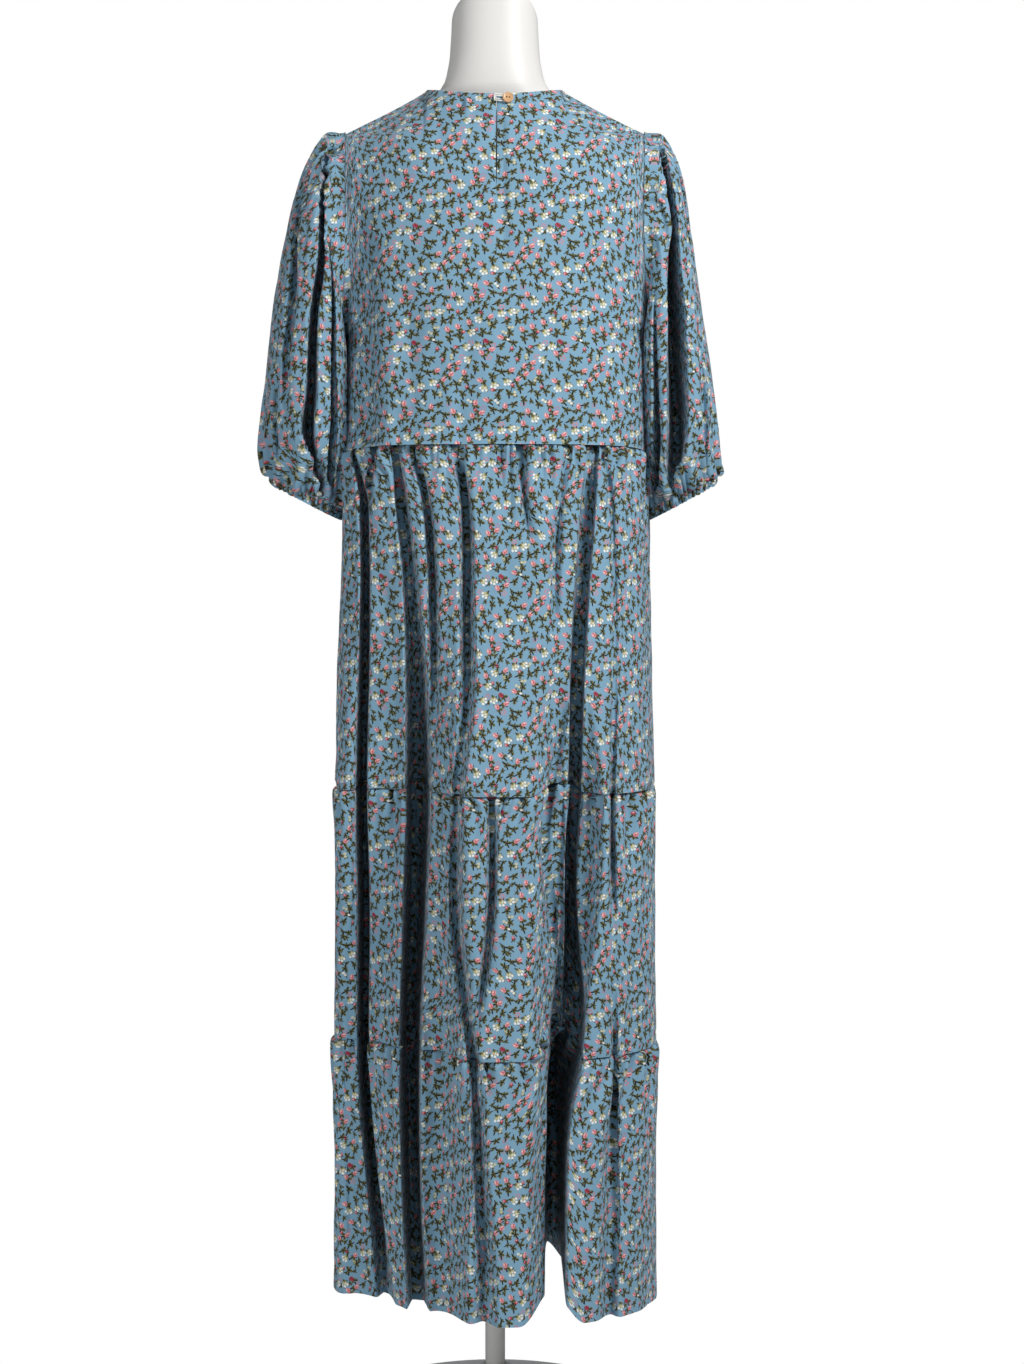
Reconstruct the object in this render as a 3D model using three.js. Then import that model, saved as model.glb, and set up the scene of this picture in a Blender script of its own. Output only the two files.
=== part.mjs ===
// A tiered maxi dress on a headless, limbless dress form, in millimetres.
// +Z is up, the wearer's front is towards -Y, and the origin is on the floor under the pole.
// The dress is cut as a straight bodice, two gathered elbow sleeves with elastic cuffs,
// and three gathered tiers, each with a front and a back strip.
import * as THREE from "three";

// ---- Cloth and seams ----
const WALL = 1.2; // thickness of a cloth wall
const SEAM_GAP = 0.3; // between two pieces that are sewn together
const ARMHOLE_GAP = 1; // between the curved armhole edges of the bodice and the head of a sleeve

// ---- Heights of the seams above the floor ----
const HEM = 135;
const TIER_3_SEAM = 414;
const TIER_2_SEAM = 691;
const WAIST_SEAM = 1060;
const WAIST_DROP = 11; // the waist seam sags this much towards the side seams
const UNDERARM = 1180;
const SHOULDER_TIP = 1401;
const NECK_SIDE = 1447;
const NECK_BACK = 1436;
const NECK_FRONT = 1388;

// ---- Neckline, armholes and slit ----
const NECK_HALF_WIDTH = 75;
const NECK_BACK_DEPTH = 68;
const NECK_FRONT_DEPTH = 84;
const ARMHOLE_BACK = 66; // how far the armhole curves back of the shoulder line
const ARMHOLE_FRONT = 62;
const ARMHOLE_HALF = (SHOULDER_TIP - UNDERARM) / 2;
const ARMHOLE_MIDDLE = (SHOULDER_TIP + UNDERARM) / 2;
const ARMHOLE_STEPS = 9;
const SLIT_LENGTH = 105;
const SLIT_OFFSET = -4; // the slit lies this far from the centre back
const SLIT_GAP = 1;

// ---- The hanging body, before folds: half its width, and its depth to the back and the front ----
const BODY = [
  { z: HEM, half: 177, back: 206, front: 206 },
  { z: TIER_3_SEAM, half: 177, back: 200, front: 194 },
  { z: TIER_2_SEAM, half: 173.5, back: 190, front: 178 },
  { z: 900, half: 169, back: 156, front: 160 },
  { z: WAIST_SEAM, half: 165.5, back: 136, front: 150 },
  { z: UNDERARM, half: 165, back: 126, front: 146 },
  { z: 1290, half: 160, back: 114, front: 124 },
  { z: SHOULDER_TIP, half: 162, back: 104, front: 104 },
];
const SQUARENESS = 0.6; // under 1 makes the body's outline fuller than an ellipse
const OUTLINE_STEPS = 240;

// ---- The largest folds, with values at the hem, both tier seams, MID_TIER_1 and the waist ----
// across: the fold's place from the centre, +X; reach: half its width; depth: how far it sinks in.
// columns: mesh columns that the fold gets of its own; steep: over 1 sets its walls upright.
const MID_TIER_1 = 870;
const FOLD_HEIGHTS = [HEM, TIER_3_SEAM, TIER_2_SEAM, MID_TIER_1, WAIST_SEAM];
const BACK_FOLDS = [
  {
    across: [135, 135, 112, 112, 112],
    reach: [130, 130, 95, 90, 80],
    depth: [86, 86, 62, 20, 6],
    columns: 0,
    steep: 1,
  },
  {
    across: [52, 58, 58, 52, 52],
    reach: [44, 42, 34, 34, 34],
    depth: [48, 42, 24, 6, 0],
    columns: 0,
    steep: 1,
  },
  {
    across: [118, 141, 144, 139, 152],
    reach: [22, 15, 14, 11, 8],
    depth: [22, 80, 80, 52, 14],
    columns: 5,
    steep: 1,
  },
  {
    across: [79, 84, 82, 84, 104],
    reach: [18, 20, 20, 14, 9],
    depth: [105, 125, 90, 42, 14],
    columns: 5,
    steep: 1,
  },
  {
    across: [12, 22, 38, 29, 38],
    reach: [19, 12, 11, 11, 8],
    depth: [28, 28, 18, 30, 12],
    columns: 5,
    steep: 1,
  },
  {
    across: [-74, -64, -68, -70, -76],
    reach: [30, 26, 28, 26, 20],
    depth: [62, 40, 26, 4, 0],
    columns: 0,
    steep: 1,
  },
  {
    across: [-64.5, -72, -85, -90, -104],
    reach: [15, 20, 11, 9, 8],
    depth: [190, 150, 46, 34, 15],
    columns: 7,
    steep: 2,
  },
  {
    across: [-88, -90, -100, -92, -90],
    reach: [20, 20, 24, 14, 10],
    depth: [0, 14, 36, 4, 0],
    columns: 0,
    steep: 1,
  },
  {
    across: [-122, -127, -125, -127, -114],
    reach: [18, 9, 8, 8, 7],
    depth: [20, 14, 14, 6, 8],
    columns: 5,
    steep: 1,
  },
];
const FRONT_FOLDS = [
  {
    across: [142, 144, 146, 148, 150],
    reach: [20, 18, 15, 12, 9],
    depth: [62, 50, 36, 18, 8],
    columns: 5,
    steep: 1,
  },
  {
    across: [88, 86, 93, 92, 98],
    reach: [24, 21, 17, 14, 11],
    depth: [100, 80, 50, 22, 12],
    columns: 5,
    steep: 1,
  },
  {
    across: [34, 38, 30, 36, 34],
    reach: [28, 24, 18, 14, 12],
    depth: [40, 30, 20, 14, 8],
    columns: 5,
    steep: 1,
  },
  {
    across: [-26, -22, -20, -22, -16],
    reach: [26, 22, 16, 12, 9],
    depth: [34, 28, 18, 10, 6],
    columns: 5,
    steep: 1,
  },
  {
    across: [-81, -83, -75, -78, -74],
    reach: [25, 21, 18, 14, 11],
    depth: [112, 86, 56, 24, 12],
    columns: 5,
    steep: 1,
  },
  {
    across: [-140, -138, -142, -142, -140],
    reach: [22, 18, 14, 11, 9],
    depth: [70, 54, 34, 16, 8],
    columns: 5,
    steep: 1,
  },
];
// Where the back is hitched up, and how far it is lifted there.
const BACK_HITCH = {
  across: [-65, -60, -66, -66, -66],
  reach: [40, 31, 32, 30, 30],
  depth: [27, 31, 12, 0, 0],
};
const FOLD_LEAN = 0.35; // near the side seams, folds sink in nearly straight towards the middle
const LEAN_FROM = 0.82; // share of the half width where that begins
const LEAN_FULL = 0.97;
const EDGE_CALM = 0.06; // folds fade out over this share of a panel beside its side seams
const RIDE_SHARE = 0.3; // of the rise that a fold as deep as this would give straight hanging cloth
const LEAST_FALL = 150; // drop below the waist under which that rise is worked out as at this drop
const LEAST_COLUMN = 0.006; // smallest share of a panel between two columns
const TIER_ROWS = 4;
const SIDE_ROWS = 3; // bodice rows below the underarm

// ---- Sleeves: a row for each section from the armhole to the cuff seam ----
// out and in: the ends of the section away from the body and next to it; depth: half its size front to back;
// lean: how far the inner back of the section lies towards the body.
const SLEEVE = [
  { outLeft: 185, outRight: 184, outZ: 1399, inX: 168, inZ: 1176, depth: 70, lean: 0 },
  { outLeft: 208, outRight: 203, outZ: 1360, inX: 168.5, inZ: 1160, depth: 76, lean: 2 },
  { outLeft: 228, outRight: 214, outZ: 1288, inX: 168.5, inZ: 1134, depth: 80, lean: 9 },
  { outLeft: 243, outRight: 227, outZ: 1200, inX: 168.5, inZ: 1104, depth: 83, lean: 18 },
  { outLeft: 251, outRight: 240, outZ: 1112, inX: 168.5, inZ: 1062, depth: 82, lean: 22 },
  { outLeft: 252, outRight: 244, outZ: 1060, inX: 169, inZ: 1022, depth: 68, lean: 19 },
  { outLeft: 246, outRight: 243, outZ: 1029, inX: 171, inZ: 992, depth: 47, lean: 6 },
];
const CUFF_END = { outLeft: 242, outRight: 239, outZ: 1018, inX: 175, inZ: 980, depth: 44, lean: 0 };
const SLEEVE_COLUMNS = 26;
// turn: the fold's place round the sleeve, 0 at the top line and 90 at the back.
const LEFT_SLEEVE_FOLDS = [
  { turn: 80, reach: 17, depth: 40 },
  { turn: 140, reach: 18, depth: 16 },
  { turn: -85, reach: 18, depth: 20 },
];
const RIGHT_SLEEVE_FOLDS = [
  { turn: 72, reach: 21, depth: 56 },
  { turn: 132, reach: 16, depth: 10 },
  { turn: -85, reach: 18, depth: 20 },
];

// ---- Button, thread and loop at the back neck ----
const BUTTON_RADIUS = 5.8;
const BUTTON_THICKNESS = 2.2;
const BUTTON_HOLE_RADIUS = 0.8;
const BUTTON_HOLE_SPACING = 2.6;
const BUTTON_ACROSS = -14;
const BUTTON_BELOW_EDGE = 7;
const BUTTON_SLOPE = 0.45; // share of the cloth's slope that the hanging button keeps
const STEM_GAP = 0.8; // under the stem, which stands askew on the sloping cloth
const THREAD_RADIUS = 1.3;
const THREAD_LENGTH = 3.4;
const LOOP_THICKNESS = 1.2;
const LOOP_HALF_WIDTH = 2.5;
const LOOP_LIFT = 1.9; // middle of the cord above the seat
const LOOP_POINTS = 16;

// ---- Dress form: a row for each level; taper over 1 draws the ends of a level section thin ----
const TORSO = [
  { z: 852, half: 112, back: 56, front: 58, taper: 0.85 },
  { z: 860, half: 126, back: 70, front: 70, taper: 0.85 },
  { z: 896, half: 139, back: 87, front: 86, taper: 0.85 },
  { z: 940, half: 142, back: 92, front: 91, taper: 0.85 },
  { z: 1000, half: 136, back: 90, front: 92, taper: 0.85 },
  { z: 1070, half: 122, back: 83, front: 90, taper: 0.85 },
  { z: 1120, half: 117, back: 82, front: 90, taper: 0.85 },
  { z: 1180, half: 127, back: 90, front: 106, taper: 0.85 },
  { z: 1245, half: 139, back: 98, front: 124, taper: 0.85 },
  { z: 1300, half: 146, back: 99, front: 108, taper: 0.85 },
  { z: 1345, half: 149, back: 92, front: 90, taper: 0.9 },
  { z: 1372, half: 149, back: 84, front: 76, taper: 1 },
  { z: 1390, half: 148, back: 70, front: 60, taper: 1.5 },
  { z: 1406.8, half: 141, back: 56, front: 48, taper: 2.4 },
  { z: 1421.8, half: 112, back: 47, front: 44, taper: 2 },
  { z: 1433.8, half: 88, back: 46, front: 44, taper: 1.7 },
  { z: 1446, half: 61, back: 48, front: 47, taper: 1 },
  { z: 1470, half: 51, back: 47, front: 46, taper: 0.9 },
  { z: 1498, half: 48, back: 45.5, front: 45, taper: 0.9 },
  { z: 1517, half: 47, back: 45, front: 44, taper: 0.9 },
];
const TORSO_COLUMNS = 40;
const TORSO_SQUARENESS = 0.85;
const NECK_SLANT = 0.74; // rise of the neck's cut per unit towards the back
const NECK_SLANT_FROM = 1440;
const NECK_TOP = TORSO[TORSO.length - 1].z;
const NECK_BEVEL = 3;

// ---- Stand ----
const BASE_RADIUS = 150;
const BASE_THICKNESS = 8;
const POLE_RADIUS = 11;
const COLLAR_RADIUS = 21;
const COLLAR_HEIGHT = 34;
const ROUND_SEGMENTS = 40;

const BACK = 1;
const FRONT = -1;
const UP = new THREE.Vector3(0, 0, 1);
const AHEAD = new THREE.Vector3(0, 1, 0);

// ---------------------------------------------------------------- shared helpers

const { lerp, clamp, smoothstep, degToRad } = THREE.MathUtils;

// A smooth curve through the values that belong to rising stations.
function through(stations, values, at) {
  const last = stations.length - 1;
  let i = 0;
  while (i < last - 1 && at > stations[i + 1]) i += 1;
  const slope = (a, b) => (values[b] - values[a]) / (stations[b] - stations[a]);
  const span = stations[i + 1] - stations[i];
  const t = clamp((at - stations[i]) / span, 0, 1);
  const leave = slope(Math.max(i - 1, 0), i + 1) * span;
  const arrive = slope(i, Math.min(i + 2, last)) * span;
  const rise = values[i + 1] - values[i];
  const curve = t * t * (3 - 2 * t) * rise;
  return values[i] + curve + t * (1 - t) * ((1 - t) * leave - t * arrive);
}

// One named column of a table whose rows rise in z.
function tableAt(rows, key, z) {
  return through(rows.map((row) => row.z), rows.map((row) => row[key]), z);
}

// The cloth wall on a grid of outer points. Faces where `open` is true are left out, and
// `rim` gives the directions that the wall's thickness may not take at a point of the edge.
function clothWall(grid, { wrap = false, open = () => false, rim = () => [] } = {}) {
  const rows = grid.length;
  const columns = grid[0].length;
  const faceColumns = wrap ? columns : columns - 1;
  const id = (i, j) => i * columns + (j % columns);
  const outer = grid.flat();
  const sums = outer.map(() => new THREE.Vector3());
  const counts = outer.map(() => 0);
  const quads = [];
  for (let i = 0; i < rows - 1; i += 1) {
    for (let j = 0; j < faceColumns; j += 1) {
      if (open(i, j)) continue;
      const corners = [id(i, j), id(i + 1, j), id(i + 1, j + 1), id(i, j + 1)];
      const [a, b, c, d] = corners.map((k) => outer[k]);
      const across = new THREE.Vector3().subVectors(c, a);
      const normal = across.cross(new THREE.Vector3().subVectors(d, b)).normalize();
      corners.forEach((k) => {
        sums[k].add(normal);
        counts[k] += 1;
      });
      quads.push(corners);
    }
  }
  const inner = outer.map((point, k) => {
    const inward = sums[k].divideScalar(Math.max(counts[k], 1));
    const [i, j] = [Math.floor(k / columns), k % columns];
    const away = rim(i, j);
    if (away.includes(UP)) inward.copy(levelNormal(grid[i], j, wrap, inward));
    away.forEach((axis) => inward.addScaledVector(axis, -inward.dot(axis)));
    const share = Math.max(inward.lengthSq(), 0.36);
    return point.clone().addScaledVector(inward, -WALL / share);
  });
  return wallGeometry(outer, inner, quads);
}

// The level direction square to a row of points, on the side of `outside`: two pieces that are
// sewn together share their row, and so share this too.
function levelNormal(points, j, wrap, outside) {
  const last = points.length - 1;
  const before = wrap ? points[(j + last) % points.length] : points[Math.max(j - 1, 0)];
  const after = wrap ? points[(j + 1) % points.length] : points[Math.min(j + 1, last)];
  const level = (from, to) => new THREE.Vector3().subVectors(to, from).setZ(0).normalize();
  const across = level(before, points[j]).add(level(points[j], after));
  const normal = across.cross(UP).normalize();
  return normal.dot(outside) < 0 ? normal.negate() : normal;
}

// Joins the outer and inner points of a wall with rims along every open edge.
function wallGeometry(outer, inner, quads) {
  const offset = outer.length;
  const edges = new Map();
  const index = [];
  quads.forEach(([a, b, c, d]) => {
    index.push(a, b, c, a, c, d);
    index.push(a + offset, c + offset, b + offset, a + offset, d + offset, c + offset);
    [[a, b], [b, c], [c, d], [d, a]].forEach(([from, to]) => {
      const back = `${to},${from}`;
      if (edges.has(back)) edges.delete(back);
      else edges.set(`${from},${to}`, [from, to]);
    });
  });
  // The rim's diagonals run the same way on both pieces of a seam, so that its edges fit.
  edges.forEach(([from, to]) => {
    if (from < to) index.push(to, from, from + offset, to, from + offset, to + offset);
    else index.push(to, from, to + offset, from, from + offset, to + offset);
  });
  return indexed([...outer, ...inner], index);
}

function indexed(points, index) {
  const geometry = new THREE.BufferGeometry().setFromPoints(points);
  geometry.setIndex(index);
  geometry.computeVertexNormals();
  return geometry;
}

// A closed solid through stacked rings of equal length, with flat or domed fans at both ends.
function stackedSolid(rings, lowEnd, highEnd) {
  const columns = rings[0].length;
  const points = [...rings.flat(), lowEnd, highEnd];
  const low = points.length - 2;
  const high = points.length - 1;
  const index = [];
  rings.forEach((ring, i) => {
    for (let j = 0; j < columns; j += 1) {
      const next = (j + 1) % columns;
      const [a, b] = [i * columns + j, i * columns + next];
      if (i === 0) index.push(low, b, a);
      if (i === rings.length - 1) index.push(a, b, high);
      else index.push(a, b, b + columns, a, b + columns, a + columns);
    }
  });
  return indexed(points, index);
}

// ---------------------------------------------------------------- the body's outline

// Angle and share of length along a quarter of the body's outline.
const OUTLINE = measureOutline();

function outlineUnit(angle) {
  return { x: Math.sin(angle), y: Math.max(Math.cos(angle), 0) ** SQUARENESS };
}

function measureOutline() {
  const angles = [];
  const lengths = [];
  let previous = outlineUnit(0);
  let length = 0;
  for (let i = 0; i <= OUTLINE_STEPS; i += 1) {
    const angle = (Math.PI / 2) * (i / OUTLINE_STEPS);
    const point = outlineUnit(angle);
    length += Math.hypot(point.x - previous.x, point.y - previous.y);
    angles.push(angle);
    lengths.push(length);
    previous = point;
  }
  return { angles, lengths: lengths.map((value) => value / length), quarter: length };
}

function lookUp(from, to, value) {
  let i = 0;
  while (i < from.length - 2 && value > from[i + 1]) i += 1;
  return lerp(to[i], to[i + 1], (value - from[i]) / (from[i + 1] - from[i]));
}

// Along a panel, -1 and 1 are its side seams and 0 its centre; equal steps are equal lengths.
function angleAt(along) {
  return Math.sign(along) * lookUp(OUTLINE.lengths, OUTLINE.angles, Math.abs(along));
}

function alongAt(share) {
  const angle = Math.asin(clamp(Math.abs(share), 0, 1));
  return Math.sign(share) * lookUp(OUTLINE.angles, OUTLINE.lengths, angle);
}

function bodyDepth(side, z) {
  return tableAt(BODY, side === BACK ? "back" : "front", z);
}

function bodyHalf(z) {
  return tableAt(BODY, "half", Math.min(z, SHOULDER_TIP));
}

function panelLength(side, z) {
  return (OUTLINE.quarter * (bodyHalf(z) + bodyDepth(side, z))) / 2;
}

// ---------------------------------------------------------------- folds of the skirt

function foldsOf(side) {
  return side === BACK ? BACK_FOLDS : FRONT_FOLDS;
}

function foldAt(side, fold, z) {
  const at = (values) => through(FOLD_HEIGHTS, values, z);
  return {
    along: alongAt(at(fold.across) / bodyHalf(z)),
    reach: Math.max(at(fold.reach), 1) / panelLength(side, z),
    depth: Math.max(at(fold.depth), 0),
    steep: fold.steep || 1,
  };
}

// How deep one fold is at a place along the panel.
function foldSink(side, row, along, z) {
  const fold = foldAt(side, row, z);
  const distance = Math.min(Math.abs(along - fold.along) / fold.reach, 1) ** fold.steep;
  return fold.depth * Math.cos((distance * Math.PI) / 2) ** 2;
}

function foldDepth(side, along, z) {
  const calm = smoothstep(1 - Math.abs(along), 0, EDGE_CALM);
  return calm * foldsOf(side).reduce((sum, row) => sum + foldSink(side, row, along, z), 0);
}

function outlinePoint(side, along, z) {
  const unit = outlineUnit(Math.abs(angleAt(along)));
  return new THREE.Vector3(
    Math.sign(along) * unit.x * bodyHalf(z),
    side * unit.y * bodyDepth(side, z),
    z,
  );
}

// A point of the hanging cloth, with its folds.
function hangingPoint(side, along, z) {
  const point = outlinePoint(side, along, z);
  const depth = foldDepth(side, along, z);
  const step = 0.01;
  const before = outlinePoint(side, Math.max(along - step, -1), z);
  const after = outlinePoint(side, Math.min(along + step, 1), z);
  const lean = FOLD_LEAN * smoothstep(Math.abs(point.x) / bodyHalf(z), LEAN_FROM, LEAN_FULL);
  const inward = new THREE.Vector2(side * (after.y - before.y) * lean, before.x - after.x);
  inward.normalize().multiplyScalar(depth);
  const hitch = side === BACK ? foldSink(side, BACK_HITCH, along, z) : 0;
  const ride = (RIDE_SHARE * depth * depth) / (2 * Math.max(WAIST_SEAM - z, LEAST_FALL)) + hitch;
  return new THREE.Vector3(point.x + inward.x, point.y + side * inward.y, z + ride);
}

// Mesh columns that follow the folds down the skirt.
function skirtColumns(side, z) {
  const stations = foldsOf(side).flatMap((row) => {
    const fold = foldAt(side, row, z);
    const station = (i) => lerp(-1, 1, i / (row.columns - 1));
    return Array.from({ length: row.columns }, (_, i) => fold.along + station(i) * fold.reach);
  });
  const inside = stations.map((value) => clamp(value, -0.985, 0.985));
  return spread([-1, ...inside.sort((a, b) => a - b), 1]);
}

// Keeps rising values at least LEAST_COLUMN apart, with both ends where they are.
function spread(values) {
  const last = values.length - 1;
  const room = (i) => Math.min(values[i], 1 - (last - i) * LEAST_COLUMN);
  for (let i = 1; i < last; i += 1) {
    values[i] = Math.max(room(i), values[i - 1] + LEAST_COLUMN);
  }
  return values;
}

function waistHeight(along) {
  return WAIST_SEAM - WAIST_DROP * Math.abs(along) ** 5;
}

// Points from -X to +X, put in the order that turns the panel's outside outwards.
function facing(side, points) {
  return side === BACK ? points.reverse() : points;
}

// ---------------------------------------------------------------- skirt tiers

// A front or back strip of one tier, from its upper seam to its lower one.
function tierGeometry(side, upper, lower) {
  const atWaist = upper === WAIST_SEAM;
  const seamHalf = SEAM_GAP / 2;
  const grid = [];
  for (let row = 0; row <= TIER_ROWS; row += 1) {
    const z = lerp(upper, lower, row / TIER_ROWS);
    const points = skirtColumns(side, z).map((along) => {
      const fall = row / TIER_ROWS;
      const top = atWaist ? waistHeight(along) : upper;
      const point = hangingPoint(side, along, lerp(top, lower, fall));
      point.z += row === 0 ? -seamHalf : 0;
      point.z += row === TIER_ROWS && lower !== HEM ? seamHalf : 0;
      point.y += side * seamHalf;
      return point;
    });
    grid.push(facing(side, points));
  }
  const lastColumn = grid[0].length - 1;
  const rim = (i, j) => [
    ...(i === 0 || i === TIER_ROWS ? [UP] : []),
    ...(j === 0 || j === lastColumn ? [AHEAD] : []),
  ];
  return clothWall(grid, { rim });
}

// ---------------------------------------------------------------- bodice

function armholeDepth(side, z) {
  const rise = clamp((z - ARMHOLE_MIDDLE) / ARMHOLE_HALF, -1, 1);
  const depth = side === BACK ? ARMHOLE_BACK : ARMHOLE_FRONT;
  return depth * Math.sqrt(1 - rise * rise);
}

// The top edge of a bodice panel: its half of the neckline, then the shoulder seam.
function topEdge(side, x) {
  const inNeck = Math.abs(x) / NECK_HALF_WIDTH;
  if (inNeck < 1) {
    const round = 1 - inNeck * inNeck;
    const depth = side === BACK ? NECK_BACK_DEPTH : NECK_FRONT_DEPTH;
    const low = side === BACK ? NECK_BACK : NECK_FRONT;
    return { y: side * depth * Math.sqrt(round), z: lerp(NECK_SIDE, low, round ** 0.9) };
  }
  const shoulder = (Math.abs(x) - NECK_HALF_WIDTH) / (bodyHalf(SHOULDER_TIP) - NECK_HALF_WIDTH);
  return { y: 0, z: lerp(NECK_SIDE, SHOULDER_TIP, shoulder ** 0.9) };
}

const SHOULDER_ROUND = 112; // drop over which the cloth turns from the shoulder to hanging
const YOKE_POWER = 2.6; // roundness of a level section between the armholes

function bodicePoint(side, along, fall) {
  const unit = outlineUnit(Math.abs(angleAt(along)));
  const topX = unit.x * bodyHalf(SHOULDER_TIP);
  const top = topEdge(side, topX);
  const z = lerp(top.z, waistHeight(along), fall);
  const sharp = lerp(2.2, 4.4, smoothstep(topX, 55, 110));
  const turned = 1 - (1 - clamp((top.z - z) / SHOULDER_ROUND, 0, 1)) ** sharp;
  const yoke = smoothstep(z, UNDERARM - 30, UNDERARM + 70);
  const shape = lerp(unit.y, 1 - unit.x ** YOKE_POWER, yoke);
  const arm = armholeDepth(side, z);
  const hang = (bodyDepth(side, z) - arm) * shape * turned;
  return new THREE.Vector3(
    Math.sign(along) * unit.x * bodyHalf(z),
    side * (arm * (1 - shape * (1 - turned)) + hang) + top.y * (1 - turned),
    z,
  );
}

// Row places down the side edge: round the armhole, then down the side seam.
function bodiceFalls() {
  const sideFoot = waistHeight(1);
  const heights = [];
  for (let i = 0; i <= ARMHOLE_STEPS; i += 1) {
    heights.push(ARMHOLE_MIDDLE + ARMHOLE_HALF * Math.cos((Math.PI * i) / ARMHOLE_STEPS));
  }
  for (let i = 1; i <= SIDE_ROWS; i += 1) {
    heights.push(lerp(UNDERARM, sideFoot, i / SIDE_ROWS));
  }
  return heights.map((z) => (SHOULDER_TIP - z) / (SHOULDER_TIP - sideFoot));
}

// Columns at the top edge: even over the shoulders and the neckline, with one at each neck corner.
function topColumns(count) {
  const neck = alongAt(NECK_HALF_WIDTH / bodyHalf(SHOULDER_TIP));
  const shoulderColumns = Math.round((count - 1) * 0.27);
  return Array.from({ length: count }, (_, i) => {
    const fromEdge = Math.min(i, count - 1 - i);
    const sign = i < count / 2 ? -1 : 1;
    if (fromEdge <= shoulderColumns) return sign * lerp(1, neck, fromEdge / shoulderColumns);
    const across = (i - shoulderColumns) / (count - 1 - 2 * shoulderColumns);
    return lerp(-neck, neck, across);
  });
}

function bodiceGeometry(side) {
  const falls = bodiceFalls();
  const waistColumns = skirtColumns(side, WAIST_SEAM);
  const top = topColumns(waistColumns.length);
  const slitAlong = alongAt(SLIT_OFFSET / bodyHalf(SHOULDER_TIP));
  const slitHalf = SLIT_GAP / 2 / panelLength(side, UNDERARM);
  const slitColumn = top.findIndex((along) => along > slitAlong);
  const grid = falls.map((fall, row) => {
    const settle = smoothstep(fall, 0.55, 1);
    const alongs = top.map((along, i) => lerp(along, waistColumns[i], settle));
    if (side === BACK) alongs.splice(slitColumn, 0, slitAlong - slitHalf, slitAlong + slitHalf);
    alongs.sort((a, b) => a - b);
    const points = alongs.map((along) => {
      const point = bodicePoint(side, along, fall);
      point.y += (side * SEAM_GAP) / 2;
      point.z += row === falls.length - 1 ? SEAM_GAP / 2 : 0;
      return point;
    });
    return facing(side, points);
  });
  const lastRow = grid.length - 1;
  const lastColumn = grid[0].length - 1;
  const slitFace = lastColumn - 1 - slitColumn;
  const slitRow = grid.findIndex((points) => points[slitFace].z < NECK_BACK - SLIT_LENGTH);
  const open = (i, j) => side === BACK && j === slitFace && i < slitRow;
  const rim = (i, j) => [
    ...(i === lastRow ? [UP] : []),
    ...(i === 0 && Math.abs(grid[i][j].x) > NECK_HALF_WIDTH - 1 ? [AHEAD] : []),
    ...((j === 0 || j === lastColumn) && grid[i][j].z < UNDERARM + 1 ? [AHEAD] : []),
  ];
  return clothWall(grid, { open, rim });
}

// ---------------------------------------------------------------- sleeves and cuffs

// side is 1 for the sleeve on +X and -1 for the one on -X.
function sleeveSection(side, row, wallFolds) {
  const outX = side > 0 ? row.outLeft : row.outRight;
  const points = [];
  for (let i = 0; i < SLEEVE_COLUMNS; i += 1) {
    const turn = (360 * i) / SLEEVE_COLUMNS;
    const pull = wallFolds * sleeveFold(side, turn);
    const up = Math.cos(degToRad(turn));
    const back = Math.sin(degToRad(turn)) * (1 - pull / row.depth);
    const lean = (row.lean * Math.max(back, 0) * (1 - up)) / 2;
    const x = lerp(row.inX, outX, (1 + up) / 2) - lean;
    const z = lerp(row.inZ, row.outZ, (1 + up) / 2);
    points.push(new THREE.Vector3(side * x, back * row.depth, z));
  }
  return side > 0 ? points : points.reverse();
}

function sleeveFold(side, turn) {
  const folds = side > 0 ? LEFT_SLEEVE_FOLDS : RIGHT_SLEEVE_FOLDS;
  return folds.reduce((sum, fold) => {
    const apart = Math.abs(((turn - fold.turn + 540) % 360) - 180) / fold.reach;
    return sum + (apart < 1 ? fold.depth * Math.cos((apart * Math.PI) / 2) ** 2 : 0);
  }, 0);
}

// The sleeve's first ring, set against the armhole edges of the bodice.
function armholeRing(side) {
  const points = [];
  for (let i = 0; i < SLEEVE_COLUMNS; i += 1) {
    const turn = (2 * Math.PI * i) / SLEEVE_COLUMNS;
    const z = ARMHOLE_MIDDLE + ARMHOLE_HALF * Math.cos(turn);
    const panel = Math.sin(turn) < 0 ? FRONT : BACK;
    const y = panel * armholeDepth(panel, z);
    points.push(new THREE.Vector3(side * (bodyHalf(z) + ARMHOLE_GAP), y, z));
  }
  return side > 0 ? points : points.reverse();
}

function sectionNormal(row, side) {
  const outX = side > 0 ? row.outLeft : row.outRight;
  return new THREE.Vector3(-side * (row.outZ - row.inZ), 0, outX - row.inX).normalize();
}

function sleeveGeometry(side) {
  const end = SLEEVE.length - 1;
  const fullness = (i) => Math.sin((Math.PI * (i + 1)) / (end + 1)) ** 0.5;
  const grid = [armholeRing(side)];
  SLEEVE.forEach((row, i) => grid.push(sleeveSection(side, row, i < end ? fullness(i) : 0)));
  const axis = sectionNormal(SLEEVE[end], side);
  grid[end + 1].forEach((point) => point.addScaledVector(axis, SEAM_GAP / 2));
  const rim = (i) => (i === end + 1 ? [axis] : []);
  return clothWall(grid, { wrap: true, rim });
}

function cuffGeometry(side) {
  const start = SLEEVE[SLEEVE.length - 1];
  const axis = sectionNormal(start, side);
  const grid = [sleeveSection(side, start, 0), sleeveSection(side, CUFF_END, 0)];
  grid[0].forEach((point) => point.addScaledVector(axis, -SEAM_GAP / 2));
  return clothWall(grid, { wrap: true, rim: (i) => (i === 0 ? [axis] : []) });
}

// ---------------------------------------------------------------- button and loop

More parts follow.
